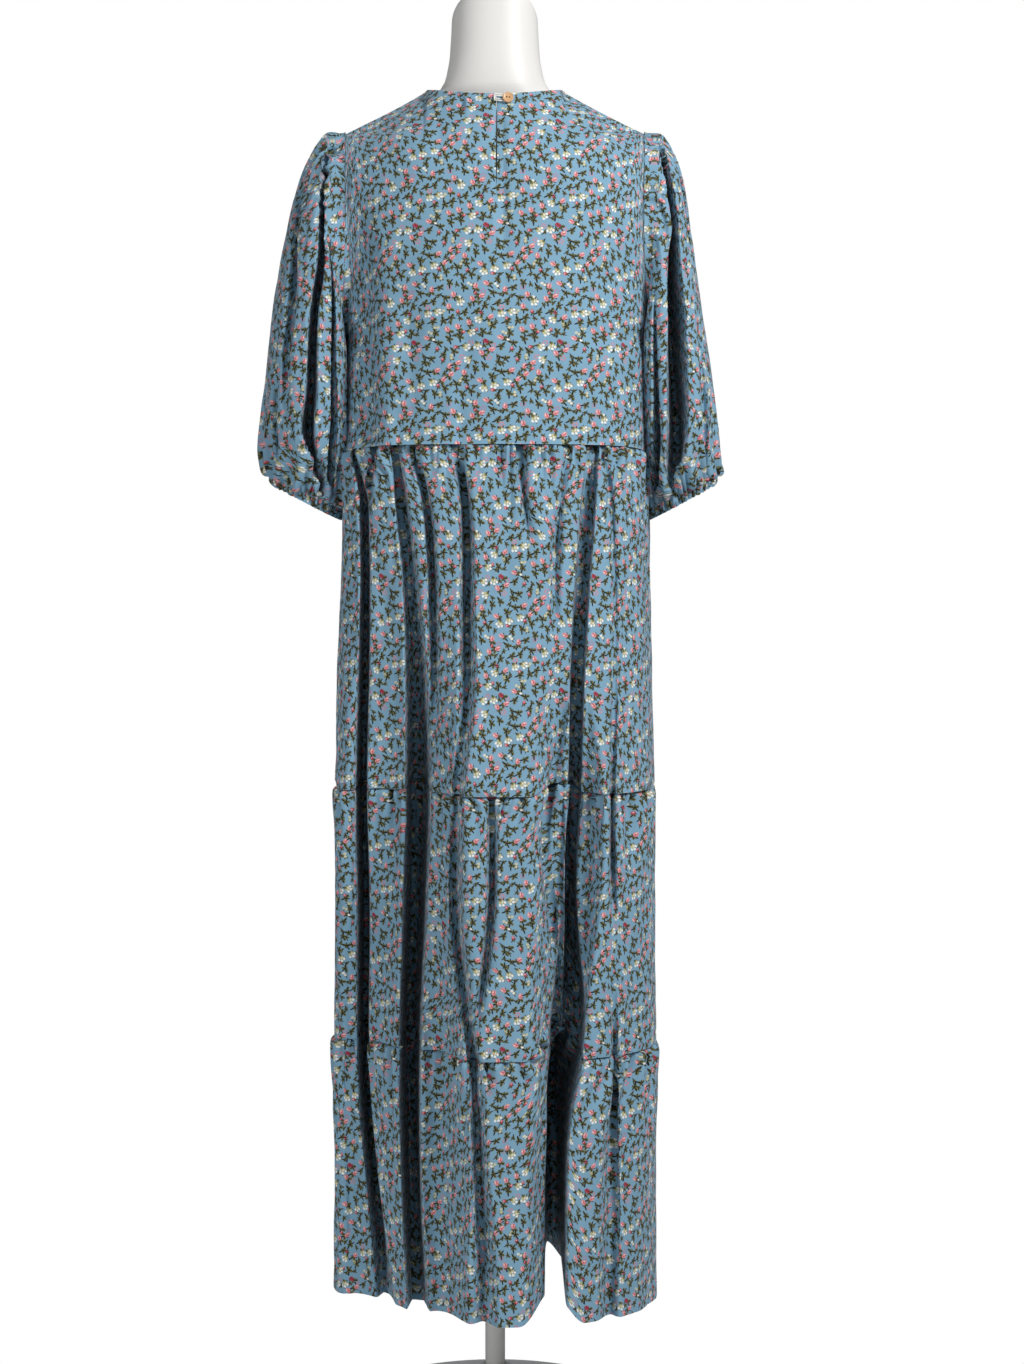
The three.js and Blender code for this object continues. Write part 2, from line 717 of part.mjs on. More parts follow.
// Where the button's stem meets the cloth, and the way the hanging button faces.
function buttonSeat() {
  const along = alongAt(BUTTON_ACROSS / bodyHalf(SHOULDER_TIP));
  const top = bodicePoint(BACK, along, 0);
  const drop = BUTTON_BELOW_EDGE / (top.z - WAIST_SEAM);
  const point = bodicePoint(BACK, along, drop);
  const lower = bodicePoint(BACK, along, 2 * drop);
  const beside = bodicePoint(BACK, along + 0.01, drop);
  const normal = new THREE.Vector3()
    .subVectors(beside, point)
    .cross(new THREE.Vector3().subVectors(lower, point))
    .normalize();
  if (normal.y < 0) normal.negate();
  normal.z *= BUTTON_SLOPE;
  return { point, normal: normal.normalize() };
}

function onSeat(mesh, distance) {
  const { point, normal } = buttonSeat();
  mesh.quaternion.setFromUnitVectors(UP, normal);
  mesh.position.copy(point).addScaledVector(normal, distance);
  return mesh;
}

function buttonGeometry() {
  const outline = new THREE.Shape().absarc(0, 0, BUTTON_RADIUS, 0, 2 * Math.PI, false);
  [-1, 1].forEach((side) => {
    const hole = new THREE.Path();
    const x = (side * BUTTON_HOLE_SPACING) / 2;
    hole.absarc(x, 0, BUTTON_HOLE_RADIUS, 0, 2 * Math.PI, true);
    outline.holes.push(hole);
  });
  return new THREE.ExtrudeGeometry(outline, {
    depth: BUTTON_THICKNESS,
    bevelEnabled: false,
    curveSegments: 14,
  });
}

function threadGeometry() {
  const height = THREAD_LENGTH - STEM_GAP - SEAM_GAP;
  const thread = new THREE.CylinderGeometry(THREAD_RADIUS, THREAD_RADIUS, height, 12);
  return thread.rotateX(Math.PI / 2).translate(0, 0, height / 2);
}

// A long ring round the thread, its far end held at the other edge of the slit.
function loopGeometry() {
  const reach = SLIT_OFFSET + SLIT_GAP - BUTTON_ACROSS;
  const points = Array.from({ length: LOOP_POINTS }, (_, i) => {
    const turn = (2 * Math.PI * (i + 0.5)) / LOOP_POINTS;
    const centre = Math.cos(turn) > 0 ? reach : 0;
    const x = centre + LOOP_HALF_WIDTH * Math.cos(turn);
    return new THREE.Vector3(x, LOOP_HALF_WIDTH * Math.sin(turn), 0);
  });
  const section = new THREE.Shape();
  section.absarc(0, 0, LOOP_THICKNESS / 2, 0, 2 * Math.PI, false);
  return new THREE.ExtrudeGeometry(section, {
    steps: 2 * LOOP_POINTS,
    extrudePath: new THREE.CatmullRomCurve3(points, true),
    curveSegments: 4,
  });
}

// ---------------------------------------------------------------- dress form and stand

function torsoRing(row) {
  const tilt = clamp((row.z - NECK_SLANT_FROM) / (NECK_TOP - NECK_SLANT_FROM), 0, 1);
  const points = [];
  for (let i = 0; i < TORSO_COLUMNS; i += 1) {
    const turn = (2 * Math.PI * i) / TORSO_COLUMNS;
    const [c, s] = [Math.cos(turn), Math.sin(turn)];
    const x = Math.sign(c) * Math.abs(c) ** TORSO_SQUARENESS * row.half;
    const depth = s > 0 ? row.back : row.front;
    const y = Math.sign(s) * Math.abs(s) ** row.taper * depth;
    points.push(new THREE.Vector3(x, y, row.z + NECK_SLANT * tilt * y));
  }
  return points;
}

function torsoGeometry() {
  const rings = TORSO.map(torsoRing);
  const brow = rings[rings.length - 1];
  const middle = new THREE.Vector3();
  brow.forEach((point) => middle.addScaledVector(point, 1 / brow.length));
  const lift = new THREE.Vector3(0, -NECK_SLANT, 1).normalize().multiplyScalar(NECK_BEVEL);
  const inset = brow.map((point) => point.clone().lerp(middle, 0.12).add(lift));
  const low = new THREE.Vector3(0, 0, TORSO[0].z);
  return stackedSolid([...rings, inset], low, middle.clone().add(lift));
}

function turned(profile) {
  const points = profile.map(([r, z]) => new THREE.Vector2(r, z));
  return new THREE.LatheGeometry(points, ROUND_SEGMENTS).rotateX(Math.PI / 2);
}

function baseGeometry() {
  const edge = BASE_THICKNESS / 2;
  return turned([
    [0, 0],
    [BASE_RADIUS - 1, 0],
    [BASE_RADIUS, 1],
    [BASE_RADIUS, edge],
    [BASE_RADIUS - edge, BASE_THICKNESS],
    [0, BASE_THICKNESS],
  ]);
}

function collarGeometry() {
  const low = BASE_THICKNESS + SEAM_GAP;
  const inside = POLE_RADIUS + SEAM_GAP;
  return turned([
    [inside, low],
    [COLLAR_RADIUS, low],
    [COLLAR_RADIUS, low + COLLAR_HEIGHT - 6],
    [inside + 3, low + COLLAR_HEIGHT],
    [inside, low + COLLAR_HEIGHT],
    [inside, low],
  ]);
}

function poleGeometry() {
  return turned([
    [0, BASE_THICKNESS + SEAM_GAP],
    [POLE_RADIUS, BASE_THICKNESS + SEAM_GAP],
    [POLE_RADIUS, TORSO[0].z - SEAM_GAP],
    [0, TORSO[0].z - SEAM_GAP],
  ]);
}

// ---------------------------------------------------------------- materials and assembly

const finish = (color, roughness, metalness = 0) =>
  new THREE.MeshStandardMaterial({ color, roughness, metalness });
const cloth = () => finish(0x6d9bb6, 0.8);
const wood = () => finish(0xc79a68, 0.55);
const thread = () => finish(0xe9e6dd, 0.8);
const shell = () => finish(0xdedbd6, 0.45);
const enamel = () => finish(0xe4e2de, 0.4, 0.1);

const dress = new THREE.Group();

function piece(name, geometry, material) {
  const mesh = new THREE.Mesh(geometry, material);
  mesh.name = name;
  dress.add(mesh);
  return mesh;
}

[["front", FRONT], ["back", BACK]].forEach(([name, side]) => {
  piece(`bodice_${name}`, bodiceGeometry(side), cloth());
  piece(`tier_1_${name}`, tierGeometry(side, WAIST_SEAM, TIER_2_SEAM), cloth());
  piece(`tier_2_${name}`, tierGeometry(side, TIER_2_SEAM, TIER_3_SEAM), cloth());
  piece(`tier_3_${name}`, tierGeometry(side, TIER_3_SEAM, HEM), cloth());
});
[["left", 1], ["right", -1]].forEach(([name, side]) => {
  piece(`sleeve_${name}`, sleeveGeometry(side), cloth());
  piece(`cuff_${name}`, cuffGeometry(side), cloth());
});

onSeat(piece("button_thread", threadGeometry(), thread()), STEM_GAP);
onSeat(piece("button", buttonGeometry(), wood()), THREAD_LENGTH);
onSeat(piece("button_loop", loopGeometry(), thread()), LOOP_LIFT);

piece("form_torso", torsoGeometry(), shell());
piece("stand_pole", poleGeometry(), enamel());
piece("stand_collar", collarGeometry(), enamel());
piece("stand_base", baseGeometry(), enamel());

export default dress;
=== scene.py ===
"""A tiered maxi dress on a headless, limbless dress form.

Sizes are in millimetres until a mesh is made. +Z is up, the wearer's front is towards -Y,
the buttoned back towards +Y, and +X is the wearer's left.
"""

import bpy
import numpy as np
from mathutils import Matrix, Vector


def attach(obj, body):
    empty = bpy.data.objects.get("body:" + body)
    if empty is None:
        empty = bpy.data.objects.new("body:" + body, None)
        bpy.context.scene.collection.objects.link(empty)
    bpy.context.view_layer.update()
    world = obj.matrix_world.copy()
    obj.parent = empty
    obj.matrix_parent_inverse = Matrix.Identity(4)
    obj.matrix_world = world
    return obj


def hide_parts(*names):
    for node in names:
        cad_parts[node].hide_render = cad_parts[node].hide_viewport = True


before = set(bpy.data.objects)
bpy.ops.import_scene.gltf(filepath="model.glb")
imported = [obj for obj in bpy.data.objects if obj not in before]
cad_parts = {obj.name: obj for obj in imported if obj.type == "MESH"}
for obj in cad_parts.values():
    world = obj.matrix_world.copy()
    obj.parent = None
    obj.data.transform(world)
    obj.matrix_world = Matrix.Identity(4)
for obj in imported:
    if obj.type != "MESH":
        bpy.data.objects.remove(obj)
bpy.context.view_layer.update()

MM = 0.001
BACK, FRONT = 1, -1

# ------------------------------------------------------------ heights of the seams

HEM = 135
TIER_3_SEAM = 414
TIER_2_SEAM = 691
WAIST_SEAM = 1060
WAIST_DROP = 17
UNDERARM = 1180
SHOULDER_TIP = 1401
NECK_SIDE = 1447
NECK_BACK = 1436
NECK_FRONT = 1388

# ------------------------------------------------------------ cut of the bodice

NECK_HALF_WIDTH = 75
NECK_BACK_DEPTH = 68
NECK_FRONT_DEPTH = 84
ARMHOLE_BACK = 66
ARMHOLE_FRONT = 62
ARMHOLE_HALF = (SHOULDER_TIP - UNDERARM) / 2
ARMHOLE_MIDDLE = (SHOULDER_TIP + UNDERARM) / 2
SHOULDER_ROUND = 112
SHARP_AT_NECK, SHARP_AT_TIP = 2.2, 4.4  # how suddenly the shoulder turns down, from SHARP_FROM to SHARP_TO
SHARP_FROM, SHARP_TO = 55, 110
YOKE_POWER = 2.6
YOKE_FROM, YOKE_TO = UNDERARM - 30, UNDERARM + 70
SLIT_LENGTH = 105
SLIT_OFFSET = -2.2
SLIT_GAP = 1.4

# ------------------------------------------------------------ the hanging body

# height, half width, depth to the back, depth to the front
BODY = np.array([
    (HEM, 177, 206, 206),
    (TIER_3_SEAM, 177, 200, 194),
    (TIER_2_SEAM, 173.5, 190, 178),
    (900, 169, 156, 160),
    (WAIST_SEAM, 165.5, 136, 150),
    (UNDERARM, 165, 126, 146),
    (1290, 160, 114, 124),
    (SHOULDER_TIP, 162, 104, 104),
])
SQUARENESS = 0.6
OUTLINE_STEPS = 1440
NEAR = 0.01  # share of a panel between points that give a direction
FOLD_LEAN = 0.05  # how far folds beside the side seams lean out of square to the body's outline
LEAN_FROM, LEAN_FULL = 0.82, 0.97  # shares of the body's half width
EDGE_CALM = 0.06  # folds fade out over this share of a panel beside its side seams

# A fold is a list of stations, each with its height, its place across, how far it reaches towards +X
# and towards -X, and its depth. steep draws its two walls upright: 1 is a soft trough.
def fold(*stations, steep=(1, 1)):
    return {"stations": np.array(stations, float).T, "steep": steep}


BACK_FOLDS = {
    "left side leans in": fold(
        (135, 135, 130, 130, 86), (414, 135, 130, 130, 86), (691, 112, 95, 95, 62),
        (870, 112, 90, 90, 20), (1060, 112, 80, 80, 6)),
    "left middle leans in": fold(
        (135, 52, 44, 44, 48), (414, 58, 42, 42, 42), (691, 58, 34, 34, 24),
        (870, 52, 34, 34, 6), (960, 52, 34, 34, 0)),
    "left side trough": fold(
        (135, 118, 15, 16, 30), (240, 131, 11, 12, 66), (340, 141, 11, 11, 88), (414, 144, 12, 12, 84),
        (560, 143, 12, 13, 88), (691, 144, 12, 12, 80), (870, 139, 10, 10, 52), (1000, 141, 9, 9, 34),
        (1052, 152, 8, 8, 14), steep=(1.5, 1.5)),
    "left side fork": fold((940, 137, 7, 7, 0), (1000, 136, 7, 7, 14), (1052, 128, 7, 7, 12)),
    "left deep trough": fold(
        (135, 84, 12, 18, 52), (250, 91, 11, 17, 112), (414, 93, 12, 18, 125), (560, 88, 13, 20, 122),
        (691, 84, 14, 21, 90), (820, 84, 13, 16, 48), (910, 89, 10, 11, 28), (1000, 99, 9, 9, 24),
        (1052, 104, 8, 8, 14), steep=(2, 1.7)),
    "left deep fork": fold(
        (700, 66, 8, 8, 0), (800, 64, 8, 8, 16), (930, 66, 8, 8, 26), (1000, 72, 8, 8, 22),
        (1052, 84, 7, 7, 12)),
    "middle trough": fold(
        (135, 12, 18, 20, 28), (230, 13, 14, 17, 28), (330, 18, 10, 12, 30), (414, 22, 9, 10, 28),
        (470, 30, 9, 10, 30), (560, 40, 10, 10, 32), (691, 38, 9, 9, 18), (780, 29, 11, 11, 24),
        (870, 29, 10, 10, 30), (990, 30, 9, 9, 26), (1052, 38, 7, 7, 12)),
    "middle fork": fold(
        (440, 18, 7, 7, 0), (480, 14, 8, 8, 14), (540, 6, 8, 8, 20), (600, 2, 8, 8, 22), (680, 3, 7, 7, 14),
        (700, 3, 7, 7, 0)),
    "centre crease": fold((950, -36, 8, 8, 0), (990, -34, 7, 7, 12), (1052, -28, 7, 7, 11)),
    "right middle crease": fold(
        (850, -62, 9, 9, 0), (900, -63, 9, 9, 10), (940, -65, 9, 9, 12), (990, -69, 8, 8, 12),
        (1052, -76, 7, 7, 8)),
    "right recess": fold(
        (135, -66, 40, 14, 62), (250, -66, 38, 14, 52), (330, -66, 34, 14, 42), (414, -64, 28, 24, 40),
        (560, -66, 28, 28, 38), (691, -68, 28, 28, 26), (800, -68, 26, 26, 12), (900, -70, 26, 26, 0)),
    "right ledge": fold(
        (250, -60, 6, 8, 0), (330, -61, 7, 9, 26), (400, -64, 8, 10, 44), (440, -67, 8, 10, 40),
        (500, -72, 7, 9, 22), (570, -75, 6, 8, 0), steep=(2, 2)),
    "right deep trough": fold(
        (135, -64.5, 12.5, 12.5, 190), (250, -65, 12.5, 12.5, 185), (310, -67, 13, 13, 175),
        (365, -71, 16, 15, 150), (414, -82, 13, 13, 100), (465, -84, 13, 15, 90), (520, -81, 8, 12, 72),
        (600, -81, 8, 8, 50), (691, -85, 8, 8, 34), (820, -88, 9, 9, 36), (910, -93, 9, 9, 30),
        (1000, -100, 9, 9, 24), (1052, -104, 8, 8, 15), steep=(5, 5)),
    "right flank": fold(
        (440, -86, 6, 14, 0), (480, -84, 8, 20, 30), (520, -82, 9, 29, 40), (600, -82, 9, 40, 42),
        (691, -84, 9, 38, 36), (760, -86, 9, 26, 12), (820, -88, 9, 14, 0), steep=(2.4, 2.4)),
    "right left fork": fold(
        (430, -72, 6, 6, 0), (470, -66, 7, 7, 8), (540, -60, 8, 8, 10), (616, -54, 8, 8, 9),
        (682, -58, 8, 8, 8), (746, -70, 8, 8, 8), (790, -76, 7, 7, 0)),
    "right side crease": fold(
        (135, -122, 18, 18, 20), (280, -124, 14, 14, 18), (360, -127, 7, 7, 18), (414, -127, 6, 6, 14),
        (520, -126, 8, 8, 0), (620, -125, 7, 7, 18), (691, -125, 6, 6, 14), (800, -127, 6, 6, 5),
        (900, -128, 6, 6, 6), (1000, -124, 6, 6, 8), (1052, -114, 6, 6, 8)),
}
FRONT_FOLDS = {
    "left side trough": fold(
        (135, 142, 20, 20, 62), (414, 144, 18, 18, 50), (691, 146, 15, 15, 36), (870, 148, 12, 12, 18),
        (1060, 150, 9, 9, 8)),
    "left deep trough": fold(
        (135, 92, 20, 28, 100), (414, 90, 17, 24, 80), (691, 96, 14, 20, 50), (870, 94, 12, 15, 22),
        (1060, 98, 11, 11, 12), steep=(1.5, 1)),
    "left middle trough": fold(
        (135, 34, 28, 28, 40), (414, 38, 24, 24, 30), (691, 30, 18, 18, 20), (870, 36, 14, 14, 14),
        (1060, 34, 12, 12, 8)),
    "right middle trough": fold(
        (135, -26, 26, 26, 34), (414, -22, 22, 22, 28), (691, -20, 16, 16, 18), (870, -22, 12, 12, 10),
        (1060, -16, 9, 9, 6)),
    "right deep trough": fold(
        (135, -84, 28, 22, 112), (414, -86, 24, 18, 86), (691, -78, 20, 15, 56), (870, -80, 16, 12, 24),
        (1060, -74, 12, 10, 12), steep=(1, 1.5)),
    "right side trough": fold(
        (135, -140, 22, 22, 70), (414, -138, 18, 18, 54), (691, -142, 14, 14, 34), (870, -142, 11, 11, 16),
        (1060, -140, 9, 9, 8)),
}
FOLDS = {BACK: BACK_FOLDS, FRONT: FRONT_FOLDS}
# Folds so deep that the cloth on each side of them hangs on its own.
PARTINGS = {
    BACK: ("left side trough", "left deep trough", "right deep trough"),
    FRONT: ("left side trough", "left deep trough", "right deep trough", "right side trough"),
}
# Where the cloth is hitched up, with how far in place of a depth.
BACK_HITCH = fold(
    (135, -65, 44, 36, 27), (300, -65, 40, 34, 27), (414, -60, 30, 32, 31), (691, -66, 32, 32, 12),
    (860, -66, 30, 30, 0))
RIDE_SHARE = 0.3  # of the rise that a fold as deep as this would give straight hanging cloth
LEAST_FALL = 150  # the rise is reckoned on at least this much cloth below the waist

CLOTH = 0.6  # thickness of the shell
SEAM_GAP = 0.3


# ------------------------------------------------------------ curves through tables


def through(stations, values, at):
    """A smooth curve through the values that belong to rising stations."""
    x, y = np.asarray(stations, float), np.asarray(values, float)
    at = np.clip(at, x[0], x[-1])
    i = np.clip(np.searchsorted(x, at, side="right") - 1, 0, len(x) - 2)
    before, after = np.maximum(i - 1, 0), np.minimum(i + 2, len(x) - 1)
    span = x[i + 1] - x[i]
    t = (at - x[i]) / span
    leave = (y[i + 1] - y[before]) / (x[i + 1] - x[before]) * span
    arrive = (y[after] - y[i]) / (x[after] - x[i]) * span
    curve = t * t * (3 - 2 * t) * (y[i + 1] - y[i])
    return y[i] + curve + t * (1 - t) * ((1 - t) * leave - t * arrive)


def smoothstep(value, low, high):
    t = np.clip((np.asarray(value, float) - low) / (high - low), 0, 1)
    return t * t * (3 - 2 * t)


def lerp(a, b, t):
    return a + (b - a) * t


def running_length(points, axis=0):
    """How far along a line of points each one lies."""
    steps = np.linalg.norm(np.diff(points, axis=axis), axis=-1)
    start = np.zeros_like(steps.take([0], axis))
    return np.cumsum(np.concatenate([start, steps], axis), axis)


def rounded_square(angle):
    return np.sin(angle), np.maximum(np.cos(angle), 0) ** SQUARENESS


ANGLES = np.linspace(0, np.pi / 2, OUTLINE_STEPS + 1)
LENGTHS = running_length(np.stack(rounded_square(ANGLES), 1))
QUARTER = LENGTHS[-1]
LENGTHS = LENGTHS / QUARTER


def outline_unit(along):
    return rounded_square(np.interp(np.abs(along), LENGTHS, ANGLES))


def along_at(share):
    angle = np.arcsin(np.clip(np.abs(share), 0, 1))
    return np.sign(share) * np.interp(angle, ANGLES, LENGTHS)


def body_half(z):
    return through(BODY[:, 0], BODY[:, 1], np.minimum(z, SHOULDER_TIP))


def body_depth(side, z):
    return through(BODY[:, 0], BODY[:, 2 if side == BACK else 3], z)


def panel_length(side, z):
    return QUARTER * (body_half(z) + body_depth(side, z)) / 2


# ------------------------------------------------------------ folds of the hanging cloth


def fold_sink(side, one, along, z):
    """How deep one fold is at places along the panel."""
    heights, across, plus, minus, depth = one["stations"]
    middle = along_at(through(heights, across, z) / body_half(z))
    plus_side = along > middle
    reach = np.where(plus_side, through(heights, plus, z), through(heights, minus, z))
    wide = np.maximum(reach, 1) / panel_length(side, z)
    distance = np.clip(np.abs(along - middle) / wide, 0, 1)
    distance = distance ** np.where(plus_side, *one["steep"])
    return np.maximum(through(heights, depth, z), 0) * np.cos(distance * np.pi / 2) ** 2


def fold_depth(side, along, z):
    calm = smoothstep(1 - np.abs(along), 0, EDGE_CALM)
    return calm * sum(fold_sink(side, one, along, z) for one in FOLDS[side].values())


def outline_point(side, along, z):
    x, y = outline_unit(along)
    return np.sign(along) * x * body_half(z), side * y * body_depth(side, z)


def hanging_point(side, along, z):
    x, y = outline_point(side, along, z)
    depth = fold_depth(side, along, z)
    x0, y0 = outline_point(side, np.maximum(along - NEAR, -1), z)
    x1, y1 = outline_point(side, np.minimum(along + NEAR, 1), z)
    lean = FOLD_LEAN * smoothstep(np.abs(x) / body_half(z), LEAN_FROM, LEAN_FULL)
    inward = np.stack([side * (y1 - y0) * lean, x0 - x1])
    inward = inward / np.linalg.norm(inward, axis=0) * depth
    rise = RIDE_SHARE * depth**2 / (2 * np.maximum(WAIST_SEAM - z, LEAST_FALL))
    if side == BACK:
        rise = rise + fold_sink(side, BACK_HITCH, along, z)
    return np.stack([x + inward[0], y + side * inward[1], z + rise], -1)


def waist_height(along):
    return WAIST_SEAM - WAIST_DROP * np.abs(along) ** 4


# ------------------------------------------------------------ cloth shells

GRIDS = {}  # outer points of each cloth piece, in mm


def grid_normals(grid, wrap=False):
    across = np.roll(grid, -1, 1) - np.roll(grid, 1, 1) if wrap else np.gradient(grid, axis=1)
    normal = np.cross(across, np.gradient(grid, axis=0))
    return normal / np.maximum(np.linalg.norm(normal, axis=2, keepdims=True), 1e-9)


def cloth_places(corner, wrap=False):
    """Flat places of the four corners of faces, from corner(row, column, face row, face column)."""

    def at(i, j):
        right = (j + 1) % wrap if wrap else j + 1
        corners = (i, j), (i, right), (i + 1, right), (i + 1, j)
        return np.stack([np.stack(corner(*place, i, j), -1) for place in corners], 1)

    return at


def shell(name, grid, uv_at, wrap=False, holes=None):
    """A closed thin wall behind a grid of outer points (rows down, columns across, in mm)."""
    rows, columns = grid.shape[:2]
    outer = grid.reshape(-1, 3)
    inner = (grid - grid_normals(grid, wrap) * CLOTH).reshape(-1, 3)
    i, j = np.meshgrid(np.arange(rows - 1), np.arange(columns if wrap else columns - 1), indexing="ij")
    keep = np.ones(i.shape, bool) if holes is None else ~holes
    i, j = i[keep], j[keep]
    right = (j + 1) % columns
    upper, lower = i * columns, (i + 1) * columns
    quads = np.stack([upper + j, upper + right, lower + right, lower + j], 1)
    corner_uv = uv_at(i, j)
    edges = np.concatenate([quads[:, [k, (k + 1) % 4]] for k in range(4)])
    edge_uv = np.concatenate([corner_uv[:, [k, (k + 1) % 4]] for k in range(4)])
    size = len(outer)
    forward = edges[:, 0] * size + edges[:, 1]
    rim = ~np.isin(forward, edges[:, 1] * size + edges[:, 0])
    rim_edges, rim_uv = edges[rim], edge_uv[rim]
    start, end = rim_edges.T
    rims = np.stack([end, start, start + size, end + size], 1)
    faces = np.concatenate([quads, quads[:, ::-1] + size, rims])
    uvs = np.concatenate([corner_uv, corner_uv[:, ::-1], rim_uv[:, [1, 0, 0, 1]]])
    points = np.concatenate([outer, inner])
    used = np.unique(faces)
    renumber = np.zeros(len(points), int)
    renumber[used] = np.arange(len(used))
    sharp = np.concatenate([rim_edges, rim_edges + size])
    GRIDS[name] = grid
    return make_mesh(name, points[used], renumber[faces], cloth_material, uvs, renumber[sharp])


def linked(name, data):
    made = bpy.data.objects.new(name, data)
    bpy.context.scene.collection.objects.link(made)
    return made


def make_mesh(name, points, faces, material, uvs=None, sharp=None, smooth=True):
    """A mesh at the origin from points in mm and faces, or groups of faces with as many corners each."""
    mesh = bpy.data.meshes.new(name)
    mesh.vertices.add(len(points))
    mesh.vertices.foreach_set("co", (np.asarray(points, np.float32) * MM).ravel())
    groups = faces if isinstance(faces, list) else [faces]
    corners = np.concatenate([np.full(len(part), part.shape[1]) for part in groups])
    loops = np.concatenate([part.ravel() for part in groups])
    mesh.loops.add(len(loops))
    mesh.loops.foreach_set("vertex_index", loops.astype(np.int32))
    mesh.polygons.add(len(corners))
    mesh.polygons.foreach_set("loop_start", (np.cumsum(corners) - corners).astype(np.int32))
    mesh.update(calc_edges=True)
    if smooth:
        mesh.polygons.foreach_set("use_smooth", np.ones(len(corners), bool))
    if uvs is not None:
        layer = mesh.uv_layers.new(name="cloth")
        layer.uv.foreach_set("vector", (np.asarray(uvs, np.float32) * MM).ravel())
    if sharp is not None:
        pairs = np.zeros(len(mesh.edges) * 2, np.int32)
        mesh.edges.foreach_get("vertices", pairs)
        base = (len(points), 1)
        flag = np.isin(np.sort(pairs.reshape(-1, 2).astype(np.int64), 1) @ base, np.sort(sharp, 1) @ base)
        mesh.attributes.new("sharp_edge", "BOOLEAN", "EDGE").data.foreach_set("value", flag)
    mesh.validate()
    mesh.materials.append(material)
    return linked(name, mesh)


# ------------------------------------------------------------ gathers

PUFF_FALL = 70  # gathered cloth stands out from its seam for about this far down
LONG_SHARE, LONG_FALL = 0.3, 2.4  # some gathers run down much further than the others
DRIFT_FALL = 90  # gathers wander sideways no further down than this
MOST_SPREAD = 1.8  # and widen by at most this share of their width
CRUMPLE_STEP = 1.55  # each set of waves is this much smaller and lower than the one before


def gather_rows(rng, end, gap, width, depth, fall):
    """Random short pleats along a seam: place, half width, depth, how far down each one runs, drift."""
    places = []
    at = rng.uniform(0.2, 0.8) * gap
    while at < end - 0.3 * gap:
        places.append(at)
        at += gap * rng.uniform(0.4, 1.75)
    count = len(places)
    return np.stack([
        np.array(places),
        width * rng.uniform(0.65, 1.5, count),
        depth * rng.uniform(0.3, 1.25, count),
        fall * rng.uniform(0.3, 1.0, count) * np.where(rng.random(count) < LONG_SHARE, LONG_FALL, 1.0),
        rng.uniform(-0.1, 0.1, count),
    ], 1)


def gather_height(rows, place, below, puff, sew=3.0):
    """How far gathered cloth stands out from its seam line."""
    sink = np.zeros_like(place)
    for middle, width, depth, fall, drift in rows:
        near = np.abs(place - middle) < 8 * width + 30
        apart = np.where(near, (place - middle - drift * np.minimum(below, DRIFT_FALL)) / width, 9)
        spread = 1 + np.minimum(below / fall, MOST_SPREAD)
        sink += depth * np.exp(-np.abs(apart / spread) ** 1.5) * np.exp(-(below / fall) ** 1.3)
    rise = 1 - np.exp(-below / sew)
    return puff * rise * np.exp(-(below / PUFF_FALL) ** 1.5) - sink * (0.4 + 0.6 * rise)


def crumple(rng, place, below, size, stretch, amount):
    """Soft irregular waves, longer down the cloth than across it."""
    total = np.zeros_like(place)
    for octave in range(5):
        wave = size / CRUMPLE_STEP**octave
        for _ in range(3):
            kx = 2 * np.pi / wave * rng.uniform(0.6, 1.3)
            kz = 2 * np.pi / (wave * stretch) * rng.uniform(-1.2, 1.2)
            total += np.sin(kx * place + kz * below + rng.uniform(0, 6.28)) / CRUMPLE_STEP**octave
    return amount * total / 3


# ------------------------------------------------------------ tiers

EDGE_ROWS = np.array([1.5, 5.0])  # heights of the last rows above the bottom edge
FINE_COLUMNS = 2601
# The front panels are cut from another place on the cloth, and all panels are printed side out.
PRINT_SHIFT = {BACK: 0, FRONT: 1370}

TIERS = {
    # top, bottom, seed, how far the top edge turns in, and the gap, half width, depth and fall of its gathers
    "tier_1": (WAIST_SEAM, TIER_2_SEAM, 11, 1.3, (8.5, 2.8, 10.5, 42)),
    "tier_2": (TIER_2_SEAM, TIER_3_SEAM, 23, 4.6, (11.0, 3.2, 14.0, 46)),
    "tier_3": (TIER_3_SEAM, HEM, 37, 4.6, (11.0, 3.2, 14.0, 52)),
}
TIER_PUFF = 5
FINE_WAVES, BROAD_WAVES = (46, 3.5, 0.7), (120, 3.0, 1.6)  # size, length per size, and height
TUCK_FALL = 1.6  # the turned edge takes about this much of the cloth's height
CROWDED = 1.6  # cloth folded up closer than this has flatter gathers
FLATTER = 0.3  # how fast it gets flatter
PRESSED, PRESSED_DEPTH = 5, 0.5  # the edge that is pressed flat above a seam
PRESSED_SHARE = 0.4  # of the creases that stays in it
BROAD_FROM = 60  # broad waves start from the seam down to here
SIDE_CALM = 9  # creases fade out this near to a side seam


def row_falls(rows, height):
    """Row places from 0 to 1, close together under the seam and at the bottom edge."""
    t = np.linspace(0, 1, rows - len(EDGE_ROWS) + 1)
    return np.sort(np.concatenate([lerp(t**1.9, t, 0.25), 1 - EDGE_ROWS / height]))


